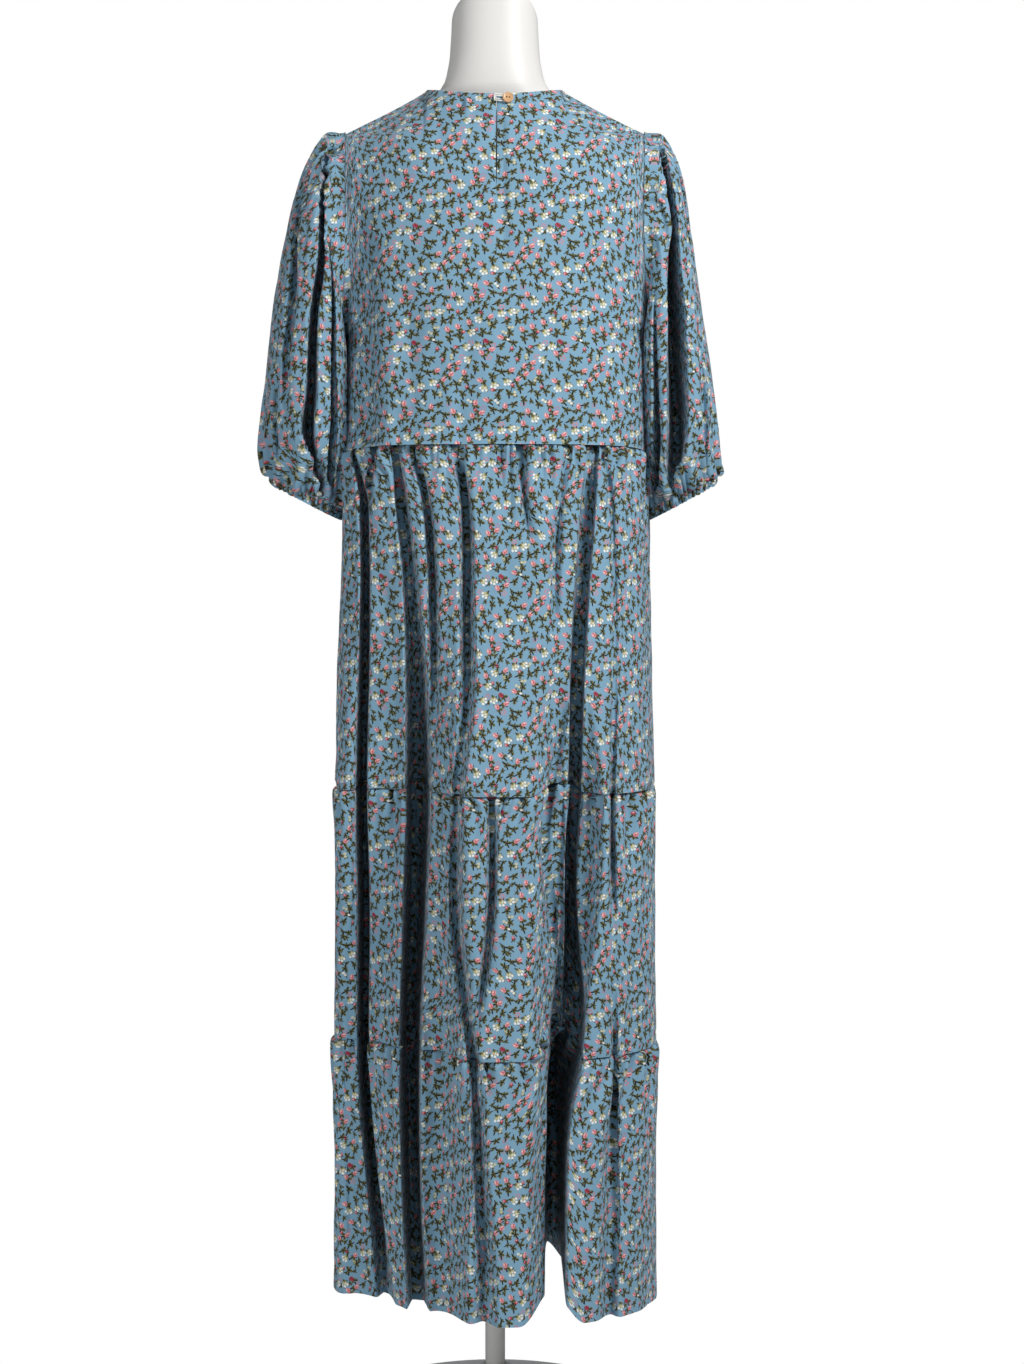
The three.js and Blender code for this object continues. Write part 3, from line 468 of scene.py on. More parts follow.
def hanging_grid(side, top, bottom, falls, columns):
    """Points of one tier panel and where each lies on its flat cloth.

    Columns keep their places between the ridges and the deep folds, so the cloth on a ridge
    hangs straight and a deep fold takes up cloth at its bottom."""
    along = np.linspace(-1, 1, FINE_COLUMNS)
    partings = [FOLDS[side][name]["stations"][:2] for name in PARTINGS[side]]
    rows, lengths, knots = [], [], []
    for fall in falls:
        start = waist_height(along) if top == WAIST_SEAM else np.full_like(along, top)
        z = lerp(start, bottom, fall)
        points = hanging_point(side, along, z)
        length = running_length(points[:, :2])
        level = lerp(top, bottom, fall)
        troughs = sorted(float(along_at(through(*parting, level) / body_half(level))) for parting in partings)
        ends = [-1, *troughs, 1]
        ridges = [(a + b) / 2 for a, b in zip(ends, ends[1:])]
        stations = [-1, *sum(([r, t] for r, t in zip(ridges, ends[1:])), [])]
        knots.append(np.interp(stations, along, length))
        rows.append(points)
        lengths.append(length)
    knots = np.array(knots)
    widest = np.diff(knots, axis=1).max(0)
    counts = np.maximum(np.round(columns * widest / widest.sum()).astype(int), 4)
    places = []
    for row_knots in knots:
        parts = []
        for k, (a, b, n) in enumerate(zip(row_knots, row_knots[1:], counts)):
            t = np.arange(n) / n
            towards_ridge = t * t if k % 2 else t * (2 - t)  # columns lie closer there
            parts.append(lerp(a, b, lerp(t, towards_ridge, 0.5)))
        places.append(np.concatenate([*parts, [row_knots[-1]]]))
    places = np.array(places)
    grid = np.stack([
        np.stack([np.interp(place, length, points[:, k]) for k in range(3)], 1)
        for place, length, points in zip(places, lengths, rows)
    ])
    across = np.stack([np.interp(place, length, along) for place, length in zip(places, lengths)])
    interval = np.repeat(np.arange(len(counts)), counts)  # of each face column
    ridge_knot = 1 + 2 * (interval // 2)
    return grid, places, knots[:, ridge_knot], across


def tier_panel(name, side, top, bottom, seed, tuck, gathers, rows, columns):
    rng = np.random.default_rng(seed + (0 if side == BACK else 100))
    falls = row_falls(rows, top - bottom)
    grid, places, anchor, across = hanging_grid(side, top, bottom, falls, columns)
    down = np.repeat(falls[:, None] * (top - bottom), grid.shape[1], 1)
    grid[..., 1] += side * SEAM_GAP / 2
    grid[0, :, 2] -= SEAM_GAP / 2
    if bottom != HEM:
        grid[-1, :, 2] += SEAM_GAP / 2
    if side == FRONT:
        grid, places, down, across, anchor = (part[:, ::-1] for part in (grid, places, down, across, anchor))
    seam = np.repeat(np.abs(places[:1] - places[0, 0]), len(grid), 0)
    lift = gather_height(gather_rows(rng, seam.max(), *gathers), seam, down, TIER_PUFF)
    across = across * float(panel_length(side, (top + bottom) / 2))
    lift += crumple(rng, across, down, *FINE_WAVES)
    lift += crumple(rng, across, down, *BROAD_WAVES) * smoothstep(down, 0, BROAD_FROM)
    crowding = np.abs(np.gradient(places, axis=1)) / np.maximum(np.abs(np.gradient(across, axis=1)), 1e-3)
    lift = lift / (1 + FLATTER * np.maximum(crowding - CROWDED, 0) ** 2)
    lift -= tuck * np.exp(-down / TUCK_FALL)
    if bottom != HEM:
        free = smoothstep(down[-1, 0] - down, 0, PRESSED)
        lift = lift * lerp(PRESSED_SHARE, 1, free) - PRESSED_DEPTH * (1 - free)
    edge = np.minimum(places - places.min(1, keepdims=True), places.max(1, keepdims=True) - places)
    lift = lift * smoothstep(edge, 0, SIDE_CALM)

    def corner(row, column, _, face):
        """Cloth is measured from the ridge that it hangs by."""
        u = anchor[0, face] + places[row, column] - anchor[row, face]
        return side * u + PRINT_SHIFT[side], -down[row, column]

    return shell(name, grid + grid_normals(grid) * lift[..., None], cloth_places(corner))


# ------------------------------------------------------------ bodice


def armhole_depth(side, z):
    rise = np.clip((z - ARMHOLE_MIDDLE) / ARMHOLE_HALF, -1, 1)
    return (ARMHOLE_BACK if side == BACK else ARMHOLE_FRONT) * np.sqrt(1 - rise * rise)


def top_edge(side, x):
    in_neck = np.clip(np.abs(x) / NECK_HALF_WIDTH, 0, 1)
    hollow = 1 - in_neck**2
    deep, low = (NECK_BACK_DEPTH, NECK_BACK) if side == BACK else (NECK_FRONT_DEPTH, NECK_FRONT)
    out = np.clip((np.abs(x) - NECK_HALF_WIDTH) / (body_half(SHOULDER_TIP) - NECK_HALF_WIDTH), 0, 1)
    neck_z = lerp(NECK_SIDE, low, hollow**0.9)
    shoulder_z = lerp(NECK_SIDE, SHOULDER_TIP, out**0.9)
    inside = np.abs(x) < NECK_HALF_WIDTH
    return np.where(inside, side * deep * np.sqrt(hollow), 0), np.where(inside, neck_z, shoulder_z)


def bodice_point(side, along, fall):
    unit_x, unit_y = outline_unit(along)
    top_x = unit_x * body_half(SHOULDER_TIP)
    top_y, top_z = top_edge(side, top_x)
    z = lerp(top_z, waist_height(along), fall)
    sharp = lerp(SHARP_AT_NECK, SHARP_AT_TIP, smoothstep(top_x, SHARP_FROM, SHARP_TO))
    turned = 1 - (1 - np.clip((top_z - z) / SHOULDER_ROUND, 0, 1)) ** sharp
    yoke = smoothstep(z, YOKE_FROM, YOKE_TO)
    shape = lerp(unit_y, 1 - unit_x**YOKE_POWER, yoke)
    arm = armhole_depth(side, z)
    hang = (body_depth(side, z) - arm) * shape * turned
    y = side * (arm * (1 - shape * (1 - turned)) + hang) + top_y * (1 - turned)
    return np.stack([np.sign(along) * unit_x * body_half(z), y, z], -1)


def bodice_columns(count, slit):
    """Places across the bodice, with one at each neck corner and one at each side of the slit."""
    neck = float(along_at(NECK_HALF_WIDTH / body_half(SHOULDER_TIP)))
    side_count = round(count * (1 - neck) / 2)
    left = np.linspace(-1, -neck, side_count, endpoint=False)
    right = -left[::-1]
    if slit is None:
        middle = np.linspace(-neck, neck, count - 2 * side_count)
        return np.concatenate([left, middle, right]), None
    before = round((count - 2 * side_count) * (slit[0] + neck) / (2 * neck))
    first = np.linspace(-neck, slit[0], before)
    second = np.linspace(slit[1], neck, count - 2 * side_count - before)
    return np.concatenate([left, first, second, right]), side_count + before - 1


# Soft creases of the bodice: place across at the top and at the bottom, top and bottom height,
# half width and depth.
BACK_CREASES = [
    (-2.4, -2.8, 1480, 1335, 2.6, 3.2),
    (-7, -9, 1450, 1325, 4.5, 3.4),
    (54, 34, 1452, 1429, 2.2, 2.6),
    (49, 29, 1452, 1429, 2.6, -2.6),
    (-9, -11, 1345, 1250, 6, 1.6),
    (92, 90, 1250, 1075, 13, 3.8),
    (30, 33, 1240, 1070, 12, 2.8),
    (151, 144, 1350, 1070, 17, 15.0),
    (104, 103, 1105, 1055, 6, 3.0),
    (38, 38, 1110, 1055, 6, 2.6),
    (-28, -28, 1095, 1055, 6, 2.2),
    (-76, -76, 1100, 1055, 7, 2.2),
    (-104, -104, 1120, 1055, 7, 2.8),
    (60, 62, 1180, 1080, 12, 1.6),
    (-60, -66, 1200, 1090, 14, 1.4),
]
FRONT_CREASES = [
    (70, 80, 1250, 1060, 14, 3.5),
    (-66, -78, 1240, 1060, 14, 3.5),
    (20, 26, 1180, 1060, 10, 2.0),
    (-24, -20, 1160, 1060, 10, 2.0),
    (118, 116, 1140, 1060, 9, 2.6),
    (-120, -118, 1150, 1060, 9, 2.6),
]
CREASE_FADE = 0.45  # a crease deepens over this share of its way down
CREASE_END = 60  # and one that ends above the armhole fades out over this height


def crease_depth(creases, x, z):
    sink = np.zeros_like(x)
    for top_x, low_x, top, low, width, depth in creases:
        t = np.clip((top - z) / (top - low), 0, 1)
        middle = lerp(top_x, low_x, t)
        fade = smoothstep(t, 0, CREASE_FADE)
        if low > UNDERARM:
            fade = fade * smoothstep(low - z, min(CREASE_END, top - low), 0)
        sink += depth * fade * np.exp(-(((x - middle) / width) ** 2))
    return sink


BODICE_WAVES = (70, 3.0, 0.5)
BODICE_CALM = 0.25  # share of the creases that stays at the waist and at the upper edge
BODICE_SIDE = 0.03  # share of a panel beside its side seams where creases fade out
WAIST_PRESSED = 0.9  # depth of the pressed edge above the waist seam
SLIT_CLOSED = 0.2  # share of its gap that the slit keeps at both ends


def bodice_panel(name, side, rows, columns):
    rng = np.random.default_rng(7 if side == BACK else 8)
    slit = None
    if side == BACK:
        middle = float(along_at(SLIT_OFFSET / body_half(SHOULDER_TIP)))
        half_gap = SLIT_GAP / 2 / float(panel_length(side, UNDERARM))
        slit = (middle - half_gap, middle + half_gap)
    along, slit_column = bodice_columns(columns, slit)
    falls, places = np.meshgrid(np.linspace(0, 1, rows + 1) ** 1.15, along, indexing="ij")
    grid = bodice_point(side, places, falls)
    x_flat = places * panel_length(side, UNDERARM)
    grid[..., 1] += side * SEAM_GAP / 2
    grid[-1, :, 2] += SEAM_GAP / 2
    holes = np.zeros((rows, len(along) - 1), bool)
    if side == BACK:
        holes[:, slit_column] = grid[1:, slit_column, 2] > NECK_BACK - SLIT_LENGTH
        below = NECK_BACK - grid[:, slit_column, 2]
        opened = lerp(SLIT_CLOSED, 1, smoothstep(below, 2, 22) * smoothstep(SLIT_LENGTH - below, 0, 30))
        edges = grid[:, slit_column:slit_column + 2, 0]
        edges[:] = edges.mean(1, keepdims=True) + np.array([-1, 1]) * (SLIT_GAP / 2 * opened)[:, None]
    if side == FRONT:
        grid, x_flat, holes = grid[:, ::-1], x_flat[:, ::-1], holes[:, ::-1]
        along = along[::-1]
    above = running_length(grid[::-1])[::-1]
    z = grid[..., 2]
    calm = smoothstep(z - WAIST_SEAM, -2, 8) * smoothstep(above.max(0)[None] - above, 0, 12)
    lift = -crease_depth(BACK_CREASES if side == BACK else FRONT_CREASES, grid[..., 0], z)
    lift += crumple(rng, x_flat, z, *BODICE_WAVES)
    lift = lift * lerp(BODICE_CALM, 1, calm) - WAIST_PRESSED * (1 - smoothstep(z - WAIST_SEAM, -12, 8))
    lift = lift * smoothstep(1 - np.abs(along), 0, BODICE_SIDE)

    def corner(row, column, *_):
        return side * x_flat[row, column] + PRINT_SHIFT[side], above[row, column]

    return shell(name, grid + grid_normals(grid) * lift[..., None], cloth_places(corner), holes=holes)


# ------------------------------------------------------------ sleeves

# Sections down the sleeve: place of the outer end on the left and on the right arm and its height,
# place and height of the inner end next to the body, half depth, and how far the inner end's back
# leans to the body.
SLEEVE = np.array([
    (185, 184, 1399, 166.6, 1176, 70, 6),
    (208, 203, 1360, 167, 1160, 76, 16),
    (228, 214, 1288, 167.2, 1134, 80, 22),
    (243, 227, 1200, 167.6, 1104, 83, 24),
    (251, 240, 1112, 168, 1062, 82, 23),
    (252, 244, 1060, 168.4, 1022, 68, 18),
    (246, 243, 1029, 169.4, 992, 47, 6),
])
CUFF_END = (242, 239, 1018, 170.4, 980, 44, 0)
SOFT, STEEP = 2.2, 4.5
# Folds of the sleeves: side of the sleeve and steepness, then stations with x, height, half width and depth.
LEFT_SLEEVE_FOLDS = [
    (BACK, STEEP, (180, 1378, 6, 10), (183, 1340, 8, 40), (187, 1270, 9, 52), (191, 1208, 10, 60),
     (197, 1120, 12, 64), (199, 1075, 14, 60), (196, 1048, 9, 42), (192, 1030, 8, 16), (190, 1018, 8, 0)),
    (BACK, SOFT, (206, 1352, 9, 0), (214, 1312, 12, 14), (218, 1235, 14, 18), (222, 1150, 12, 12),
     (226, 1090, 8, 0)),
    (BACK, STEEP, (176, 1290, 6, 0), (173, 1230, 7, 20), (172, 1150, 9, 34), (173, 1090, 10, 42),
     (175, 1040, 10, 36), (177, 1015, 9, 22), (178, 1000, 6, 0)),
    (BACK, SOFT, (236, 1140, 6, 0), (236, 1090, 8, 10), (234, 1050, 8, 9), (232, 1030, 5, 0)),
    (BACK, SOFT, (189, 1050, 8, 0), (187, 1030, 12, 20), (186, 1014, 12, 22), (186, 1004, 9, 6)),
    (FRONT, SOFT, (190, 1360, 7, 4), (198, 1270, 10, 20), (206, 1120, 9, 22), (208, 1040, 6, 6)),
    (FRONT, SOFT, (216, 1330, 7, 2), (224, 1220, 10, 12), (228, 1100, 8, 6)),
]
RIGHT_SLEEVE_FOLDS = [
    (BACK, STEEP, (180, 1384, 5, 8), (186, 1345, 10, 46), (192, 1285, 17, 72), (195, 1190, 24, 86),
     (195, 1092, 25, 84), (193, 1046, 21, 58), (191, 1022, 14, 18), (190, 1010, 10, 0)),
    (BACK, SOFT, (192, 1392, 6, 8), (203, 1350, 9, 18), (211, 1300, 9, 12), (216, 1240, 8, 0)),
    (BACK, SOFT, (220, 1200, 9, 0), (224, 1130, 12, 9), (228, 1075, 10, 10), (228, 1040, 8, 4)),
    (BACK, STEEP, (172, 1220, 5, 0), (171, 1150, 8, 18), (172, 1090, 10, 30), (174, 1030, 12, 38),
     (175, 1008, 10, 30), (177, 992, 8, 0)),
    (FRONT, SOFT, (190, 1360, 7, 4), (198, 1270, 10, 20), (204, 1120, 9, 22), (206, 1040, 6, 6)),
    (FRONT, SOFT, (214, 1330, 7, 2), (220, 1220, 10, 12), (222, 1100, 8, 6)),
]
HEAD_GATHERS, FOOT_GATHERS = (12, 2.8, 6.5, 46), (9, 2.8, 12.0, 30)  # gap, half width, depth and fall
HEAD_PUFF, FOOT_PUFF = 4, 3
HEAD_ROOM = 8  # longer way from the armhole to the first section, which sets the rows of the head apart
INWARD_SHARES = (0.6, 1, 0.15)  # folds sink mostly to the front and the back
SLEEVE_WAVES = (44, 3.0, 0.7)
CUFF_PLEATS = (4.6, 1.3, 5.0, 1e6)  # they run through the whole cuff
CUFF_WIDTH, CUFF_BULGE, CUFF_FULLNESS = 12, 1.8, 1.5
CUFF_DRIFT = 20  # how far a pleat may wander sideways
CUFF_PRINT_SHIFT = 400


def turn_of(side, columns):
    """Turns round a sleeve from its top, in degrees, one way on the left arm and the other on the right."""
    turn = 360 * np.arange(columns) / columns
    return turn if side > 0 else turn[::-1]


def up_and_back(turn):
    return np.cos(np.radians(turn)), np.sin(np.radians(turn))


def ring_length(grid):
    return np.linalg.norm(np.roll(grid, -1, -2) - grid, axis=-1).sum(-1)


def sleeve_section(side, row, turn):
    out_x = row[0] if side > 0 else row[1]
    up, back = up_and_back(turn)
    x = lerp(row[3], out_x, (1 + up) / 2) - row[6] * np.maximum(back, 0) * (1 - up) / 2
    z = lerp(row[4], row[2], (1 + up) / 2)
    return np.stack([side * x, back * row[5], z], -1)


def section_axis(row, side):
    out_x = row[0] if side > 0 else row[1]
    axis = np.array([-side * (row[2] - row[4]), 0, out_x - row[3]])
    return axis / np.linalg.norm(axis)


def armhole_ring(side, turn):
    up, back = up_and_back(turn)
    z = ARMHOLE_MIDDLE + ARMHOLE_HALF * up
    y = np.where(back < 0, -armhole_depth(FRONT, z), armhole_depth(BACK, z))
    return np.stack([side * (body_half(z) + 2 * SEAM_GAP), y, z], -1)


def smooth_rows(coarse, shares, at):
    return np.stack([
        np.stack([through(shares, coarse[:, j, k], at) for j in range(coarse.shape[1])], 1) for k in range(3)
    ], 2)


def fold_course(one, grid, place, share):
    """A fold's depth down the sleeve, its place and its half width, from stations found by where they lie."""
    side, steep, *stations = one
    on_side = np.where(grid[..., 1] * side > 0, 0, 1e6)
    found = []
    for x, z, width, depth in stations:
        miss = (np.abs(grid[..., 0]) - x) ** 2 + (grid[..., 2] - z) ** 2 + on_side
        row, column = np.unravel_index(np.argmin(miss), miss.shape)
        found.append((share[row, 0], place[row, column], width, depth))
    at, middle, width, depth = np.array(sorted(found)).T
    at = at + np.arange(len(at)) * 1e-4
    middle = np.unwrap(middle, period=place[0, 1] * place.shape[1])
    down = share[:, :1]
    inside = (down >= at[0] - 0.05) & (down <= at[-1] + 0.05)
    deep = np.where(inside, np.maximum(through(at, depth, down), 0), 0)
    return deep, through(at, middle, down), through(at, width, down), steep


def sleeve_fold_depth(folds, grid, place, share):
    sink = np.zeros_like(place)
    around = place[0, 1] * place.shape[1]
    for one in folds:
        depth, middle, width, steep = fold_course(one, grid, place, share)
        apart = (place - middle + 1.5 * around) % around - around / 2
        reach = np.clip(np.abs(apart) / width, 0, 1) ** steep
        sink += depth * np.cos(reach * np.pi / 2) ** 2
    return sink


def level_walk(grid, columns):
    """How far each point lies along a level line from the first of the columns."""
    walked = np.zeros(grid.shape[:2])
    for before, at in zip(columns, columns[1:]):
        near = grid[:, before]
        order = np.argsort(near[:, 2])
        z = grid[:, at, 2]
        known = near[:, 0], near[:, 1], walked[:, before]
        x, y, far = (np.interp(z, near[order, 2], values[order]) for values in known)
        walked[:, at] = far + np.hypot(grid[:, at, 0] - x, grid[:, at, 1] - y)
    return walked


def sleeve_places(side, grid, turn, parting):
    """Flat places of the corners of faces: upright cloth measured round from the outer edge and, on
    the body's side of the deepest fold, which takes up the odd cloth, from the inner edge."""
    up, back = up_and_back(turn)
    outer, inner = int(np.argmax(up)), int(np.argmin(up))
    between = [j for j in np.argsort(-up) if j not in (outer, inner)]
    behind, before = ([j for j in between if (back[j] > 0) == rear] for rear in (True, False))
    from_outer = level_walk(grid, [outer, *behind, inner])
    from_inner = level_walk(grid, [inner, *behind[::-1], outer])
    ahead = -level_walk(grid, [outer, *before, inner])
    home = np.median(from_outer[:5, inner])
    outline = grid[::-1, outer]
    z = grid[..., 2]
    height = np.interp(z, np.maximum.accumulate(outline[:, 2]), running_length(outline[:, ::2]))
    height += np.minimum(z - outline[0, 2], 0)
    on_back = np.isin(np.arange(len(turn)), behind)

    def corner(row, column, i, j):
        right = (j + 1) % len(turn)
        past = (turn[j] > parting[i]) & (turn[right] > parting[i])
        rear = np.where(past, home - from_inner[row, column], from_outer[row, column])
        walked = np.where(on_back[j] | on_back[right], rear, ahead[row, column])
        return side * walked, height[row, column]

    return cloth_places(corner, len(turn))


def sleeve(name, side, rows, columns):
    rng = np.random.default_rng(51 if side > 0 else 52)
    turn = turn_of(side, columns)
    coarse = np.stack([armhole_ring(side, turn), *[sleeve_section(side, row, turn) for row in SLEEVE]])
    steps = running_length(coarse.mean(1))
    steps[1:] += HEAD_ROOM
    at = np.linspace(0, 1, rows + 1)
    at = lerp(at, 0.5 - 0.5 * np.cos(np.pi * at), 0.6)  # rows lie closer at both ends
    grid = smooth_rows(coarse, steps / steps[-1], at)
    share = np.repeat(at[:, None], columns, 1)
    around = ring_length(grid).max()
    place = np.repeat((np.arange(columns) / columns * around)[None], rows + 1, 0)

    folds = LEFT_SLEEVE_FOLDS if side > 0 else RIGHT_SLEEVE_FOLDS
    deepest = fold_course(folds[0], grid, place, share)[1][:, 0]
    parting = turn[0] + side * 360 * (deepest % around) / around
    inward = (grid.mean(1, keepdims=True) - grid) * INWARD_SHARES
    inward /= np.maximum(np.linalg.norm(inward, axis=2, keepdims=True), 1e-9)
    ends = smoothstep(share, 0, 0.08) * smoothstep(1 - share, 0, 0.035)
    grid = grid + inward * (ends * sleeve_fold_depth(folds, grid, place, share))[..., None]
    flat_places = sleeve_places(side, grid, turn, parting)

    down = running_length(grid)
    left = down[-1:] - down
    crown = smoothstep(up_and_back(turn)[0] * 0.5 + 0.5, 0.25, 0.7)
    lift = gather_height(gather_rows(rng, around, *HEAD_GATHERS), place, down, HEAD_PUFF) * crown
    lift += gather_height(gather_rows(rng, around, *FOOT_GATHERS), place, left, FOOT_PUFF)
    lift += crumple(rng, place, down, *SLEEVE_WAVES) * smoothstep(down, 0, 30) * smoothstep(left, 0, 30)
    grid = grid + grid_normals(grid, wrap=True) * lift[..., None]
    grid[-1] += section_axis(SLEEVE[-1], side) * SEAM_GAP / 2
    return shell(name, grid, flat_places, wrap=True)


def cuff(name, side, rows, columns):
    """A narrow casing that elastic draws up into many small pleats."""
    rng = np.random.default_rng(61 if side > 0 else 62)
    start, end = (sleeve_section(side, row, turn_of(side, columns)) for row in (SLEEVE[-1], CUFF_END))
    share = np.repeat(np.linspace(0, 1, rows + 1)[:, None], columns, 1)
    grid = lerp(start, end, share[..., None])
    around = ring_length(start)
    place = np.repeat((np.arange(columns) / columns * around)[None], rows + 1, 0)
    sink = np.zeros_like(place)
    for middle, width, depth, _, drift in gather_rows(rng, around, *CUFF_PLEATS):
        apart = (place - middle - drift * CUFF_DRIFT * (share - 0.5) + around / 2) % around - around / 2
        sink += depth * np.exp(-((apart / width) ** 2))
    bulge = np.sin(np.pi * share)
    lift = CUFF_BULGE * bulge**0.7 - sink * (0.3 + 0.7 * bulge)
    grid = grid + grid_normals(grid, wrap=True) * lift[..., None]
    grid[0] -= section_axis(SLEEVE[-1], side) * SEAM_GAP / 2

    def corner(row, column, *_):
        u = column / columns * around * CUFF_FULLNESS
        return u + CUFF_PRINT_SHIFT, -share[row, column % columns] * CUFF_WIDTH

    return shell(name, grid, cloth_places(corner), wrap=True)


# ------------------------------------------------------------ materials


def srgb(red, green, blue):
    """A colour from 0-255 display values, as the linear values that shaders take."""
    return tuple(float(((v / 255 + 0.055) / 1.055) ** 2.4) for v in (red, green, blue)) + (1.0,)


class Graph:
    """Adds nodes to a tree, with sockets or plain values as inputs."""

    def __init__(self, tree):
        self.tree = tree

    def node(self, kind, *inputs, **settings):
        made = self.tree.nodes.new(kind)
        for key, value in settings.items():
            setattr(made, key, value)
        for socket, value in zip([s for s in made.inputs if s.enabled], inputs):
            if value is not None:
                self.fill(socket, value)
        return made

    def fill(self, socket, value):
        if isinstance(value, bpy.types.NodeSocket):
            self.tree.links.new(value, socket)
        else:
            socket.default_value = value

    def put(self, node, **inputs):
        """Fills inputs by their names, in small letters with _ for spaces."""
        for key, value in inputs.items():
            self.fill(node.inputs[key.replace("_", " ").title()], value)
        return node

    def math(self, operation, *inputs, clamp=False):
        return self.node("ShaderNodeMath", *inputs, operation=operation, use_clamp=clamp).outputs[0]

    def times(self, first, second):
        return self.math("MULTIPLY", first, second)

    def minus(self, first, second):
        return self.math("SUBTRACT", first, second)

    def line(self, value, slope, start, clamp=False):
        return self.math("MULTIPLY_ADD", value, slope, start, clamp=clamp)

    def wave(self, value):
        return self.math("COSINE", value)

    def vector(self, operation, *inputs):
        made = self.node("ShaderNodeVectorMath", *inputs, operation=operation)
        return next(s for s in made.outputs if s.enabled)

    def split(self, vector):
        return self.node("ShaderNodeSeparateXYZ", vector).outputs

    def join(self, x, y, z=0.0):
        return self.node("ShaderNodeCombineXYZ", x, y, z).outputs[0]

    def mix(self, share, *colors):
        """A blend of two colours, each a socket or the name of a colour of the print."""
        first, second = (FLOWER_COLORS[color] if isinstance(color, str) else color for color in colors)
        return self.node("ShaderNodeMix", share, first, second, data_type="RGBA").outputs[2]

    def noise(self, vector, detail, roughness):
        return self.node("ShaderNodeTexNoise", vector, None, detail, roughness).outputs[0]

    def random(self, vector):
        return self.node("ShaderNodeTexWhiteNoise", vector, noise_dimensions="3D").outputs


def group(name, inputs, outputs):
    """A new shader node group with its sockets, its graph and its two ends."""
    tree = bpy.data.node_groups.new(name, "ShaderNodeTree")
    for socket, kind, value in inputs:
        made = tree.interface.new_socket(socket, in_out="INPUT", socket_type="NodeSocket" + kind)
        if value is not None:
            made.default_value = value
    for socket, kind in outputs:
        tree.interface.new_socket(socket, in_out="OUTPUT", socket_type="NodeSocket" + kind)
    graph = Graph(tree)
    return tree, graph, tree.nodes.new("NodeGroupInput").outputs, tree.nodes.new("NodeGroupOutput").inputs


REPEAT = np.array([70.0, 124.0])  # mm from one motif to the same one again, across and down the cloth
# Motifs grow at the places of a slanted lattice that meets itself again after one repeat.
LATTICE = np.array([[4, 3], [-2, 7]])
LATTICE_PLACES = 34
LATTICE_STEPS = (1, 19)  # how the number of a place rises along the two ways of the lattice
# What grows at each place: B bud, D dark bud, W white blossom, S sprig; r berry, t twig,
# o white dots, l leaves, n nothing.
LARGE_CHARTS = ("BSWSBBSSBSSWSSBSBSWSBSSSWBBBSBWSBS", "SWSBSSBSSWSSBSSDWBSWSBBSSWSBBSBWSS")
SMALL_CHARTS = ("lrltlolrlrlltlolrlotlrlolnlrrlltlo", "olrlltolrlnlortlrlrllotnrlolltlrno")
LARGE_MASKS = {"B": (1, 0, 0, 1), "D": (1, 0, 0, 0), "W": (0, 1, 0, 1), "S": (0, 0, 1, 1)}
SMALL_MASKS = {"r": (1, 0, 0, 1), "o": (0, 1, 0, 1), "t": (0, 0, 1, 1), "l": (0, 0, 0, 1), "n": (0, 0, 0, 0)}
FLOWER_COLORS = {
    "ground": srgb(128, 170, 195),
    "rose": srgb(224, 130, 137),
    "rose light": srgb(244, 182, 180),
    "rose red": srgb(180, 66, 84),
    "dark red": srgb(120, 30, 48),
    "white": srgb(244, 244, 238),
    "cream": srgb(196, 192, 148),
    "leaf": srgb(14, 22, 18),
    "olive": srgb(112, 112, 66),
    "mauve": srgb(170, 128, 158),
    "blush": srgb(250, 214, 206),
}
# A hanging bunch of blossom, with an olive cap, cream petals and white tips below them:
# middle and radii of each petal in mm, and its colour.
BUNCH = [
    ((0.1, 2.0), (2.2, 1.3), "olive"),
    ((-1.7, 0.6), (1.2, 1.5), "cream"),
    ((1.5, 0.8), (1.2, 1.5), "cream"),
    ((0.0, -0.8), (1.1, 1.7), "cream"),
    ((-2.9, -1.8), (1.25, 1.45), "white"),
    ((0.2, -3.3), (1.3, 1.5), "white"),
    ((3.0, -1.4), (1.2, 1.4), "white"),
    ((-0.9, -0.2), (0.6, 0.9), "white"),
]


def lattice(graph, place, seed, shift, jitter):
    """The nearest place of a lattice: its number in the repeat, the way from its middle in mm,
    and a turn and a share, both random from 0 to 1."""
    ways, whole = [], []
    for row, moved in zip(LATTICE / REPEAT, shift):
        way = graph.math("ADD", graph.vector("DOT_PRODUCT", place, (*row, 0)), moved)
        whole.append(graph.math("FLOOR", way))
        ways.append(graph.minus(graph.minus(way, whole[-1]), 0.5))
    steps = graph.vector("DOT_PRODUCT", graph.join(*whole), (*LATTICE_STEPS, 0))
    number = graph.math("FLOORED_MODULO", steps, float(LATTICE_PLACES))
    chosen = graph.random(graph.join(number, float(seed)))["Color"]
    away = graph.join(*ways)
    back = np.linalg.inv(LATTICE / REPEAT)
    local = graph.join(*(graph.vector("DOT_PRODUCT", away, (*row, 0)) for row in back))
    centred = graph.vector("SUBTRACT", chosen, (0.5, 0.5, 0.5))
    stray = graph.vector("MULTIPLY", centred, (2 * jitter, 2 * jitter, 0))
    turn = graph.split(chosen)[2]
    share = graph.math("FRACT", graph.times(turn, 37.7))
    return number, graph.vector("ADD", local, stray), turn, share


def charted(graph, number, chart, masks):
    """The masks of what grows at a numbered place, from a chart with a letter for each place."""
    at = graph.math("DIVIDE", graph.math("ADD", number, 0.5), float(LATTICE_PLACES))
    ramp = graph.node("ShaderNodeValToRGB", at)
    stops = ramp.color_ramp
    stops.interpolation = "CONSTANT"
    stops.elements[0].color = masks[chart[0]]
    for i in range(1, len(chart)):
        if chart[i] != chart[i - 1]:
            stops.elements.new(i / LATTICE_PLACES).color = masks[chart[i]]
    return (*graph.split(ramp.outputs["Color"]), ramp.outputs["Alpha"])


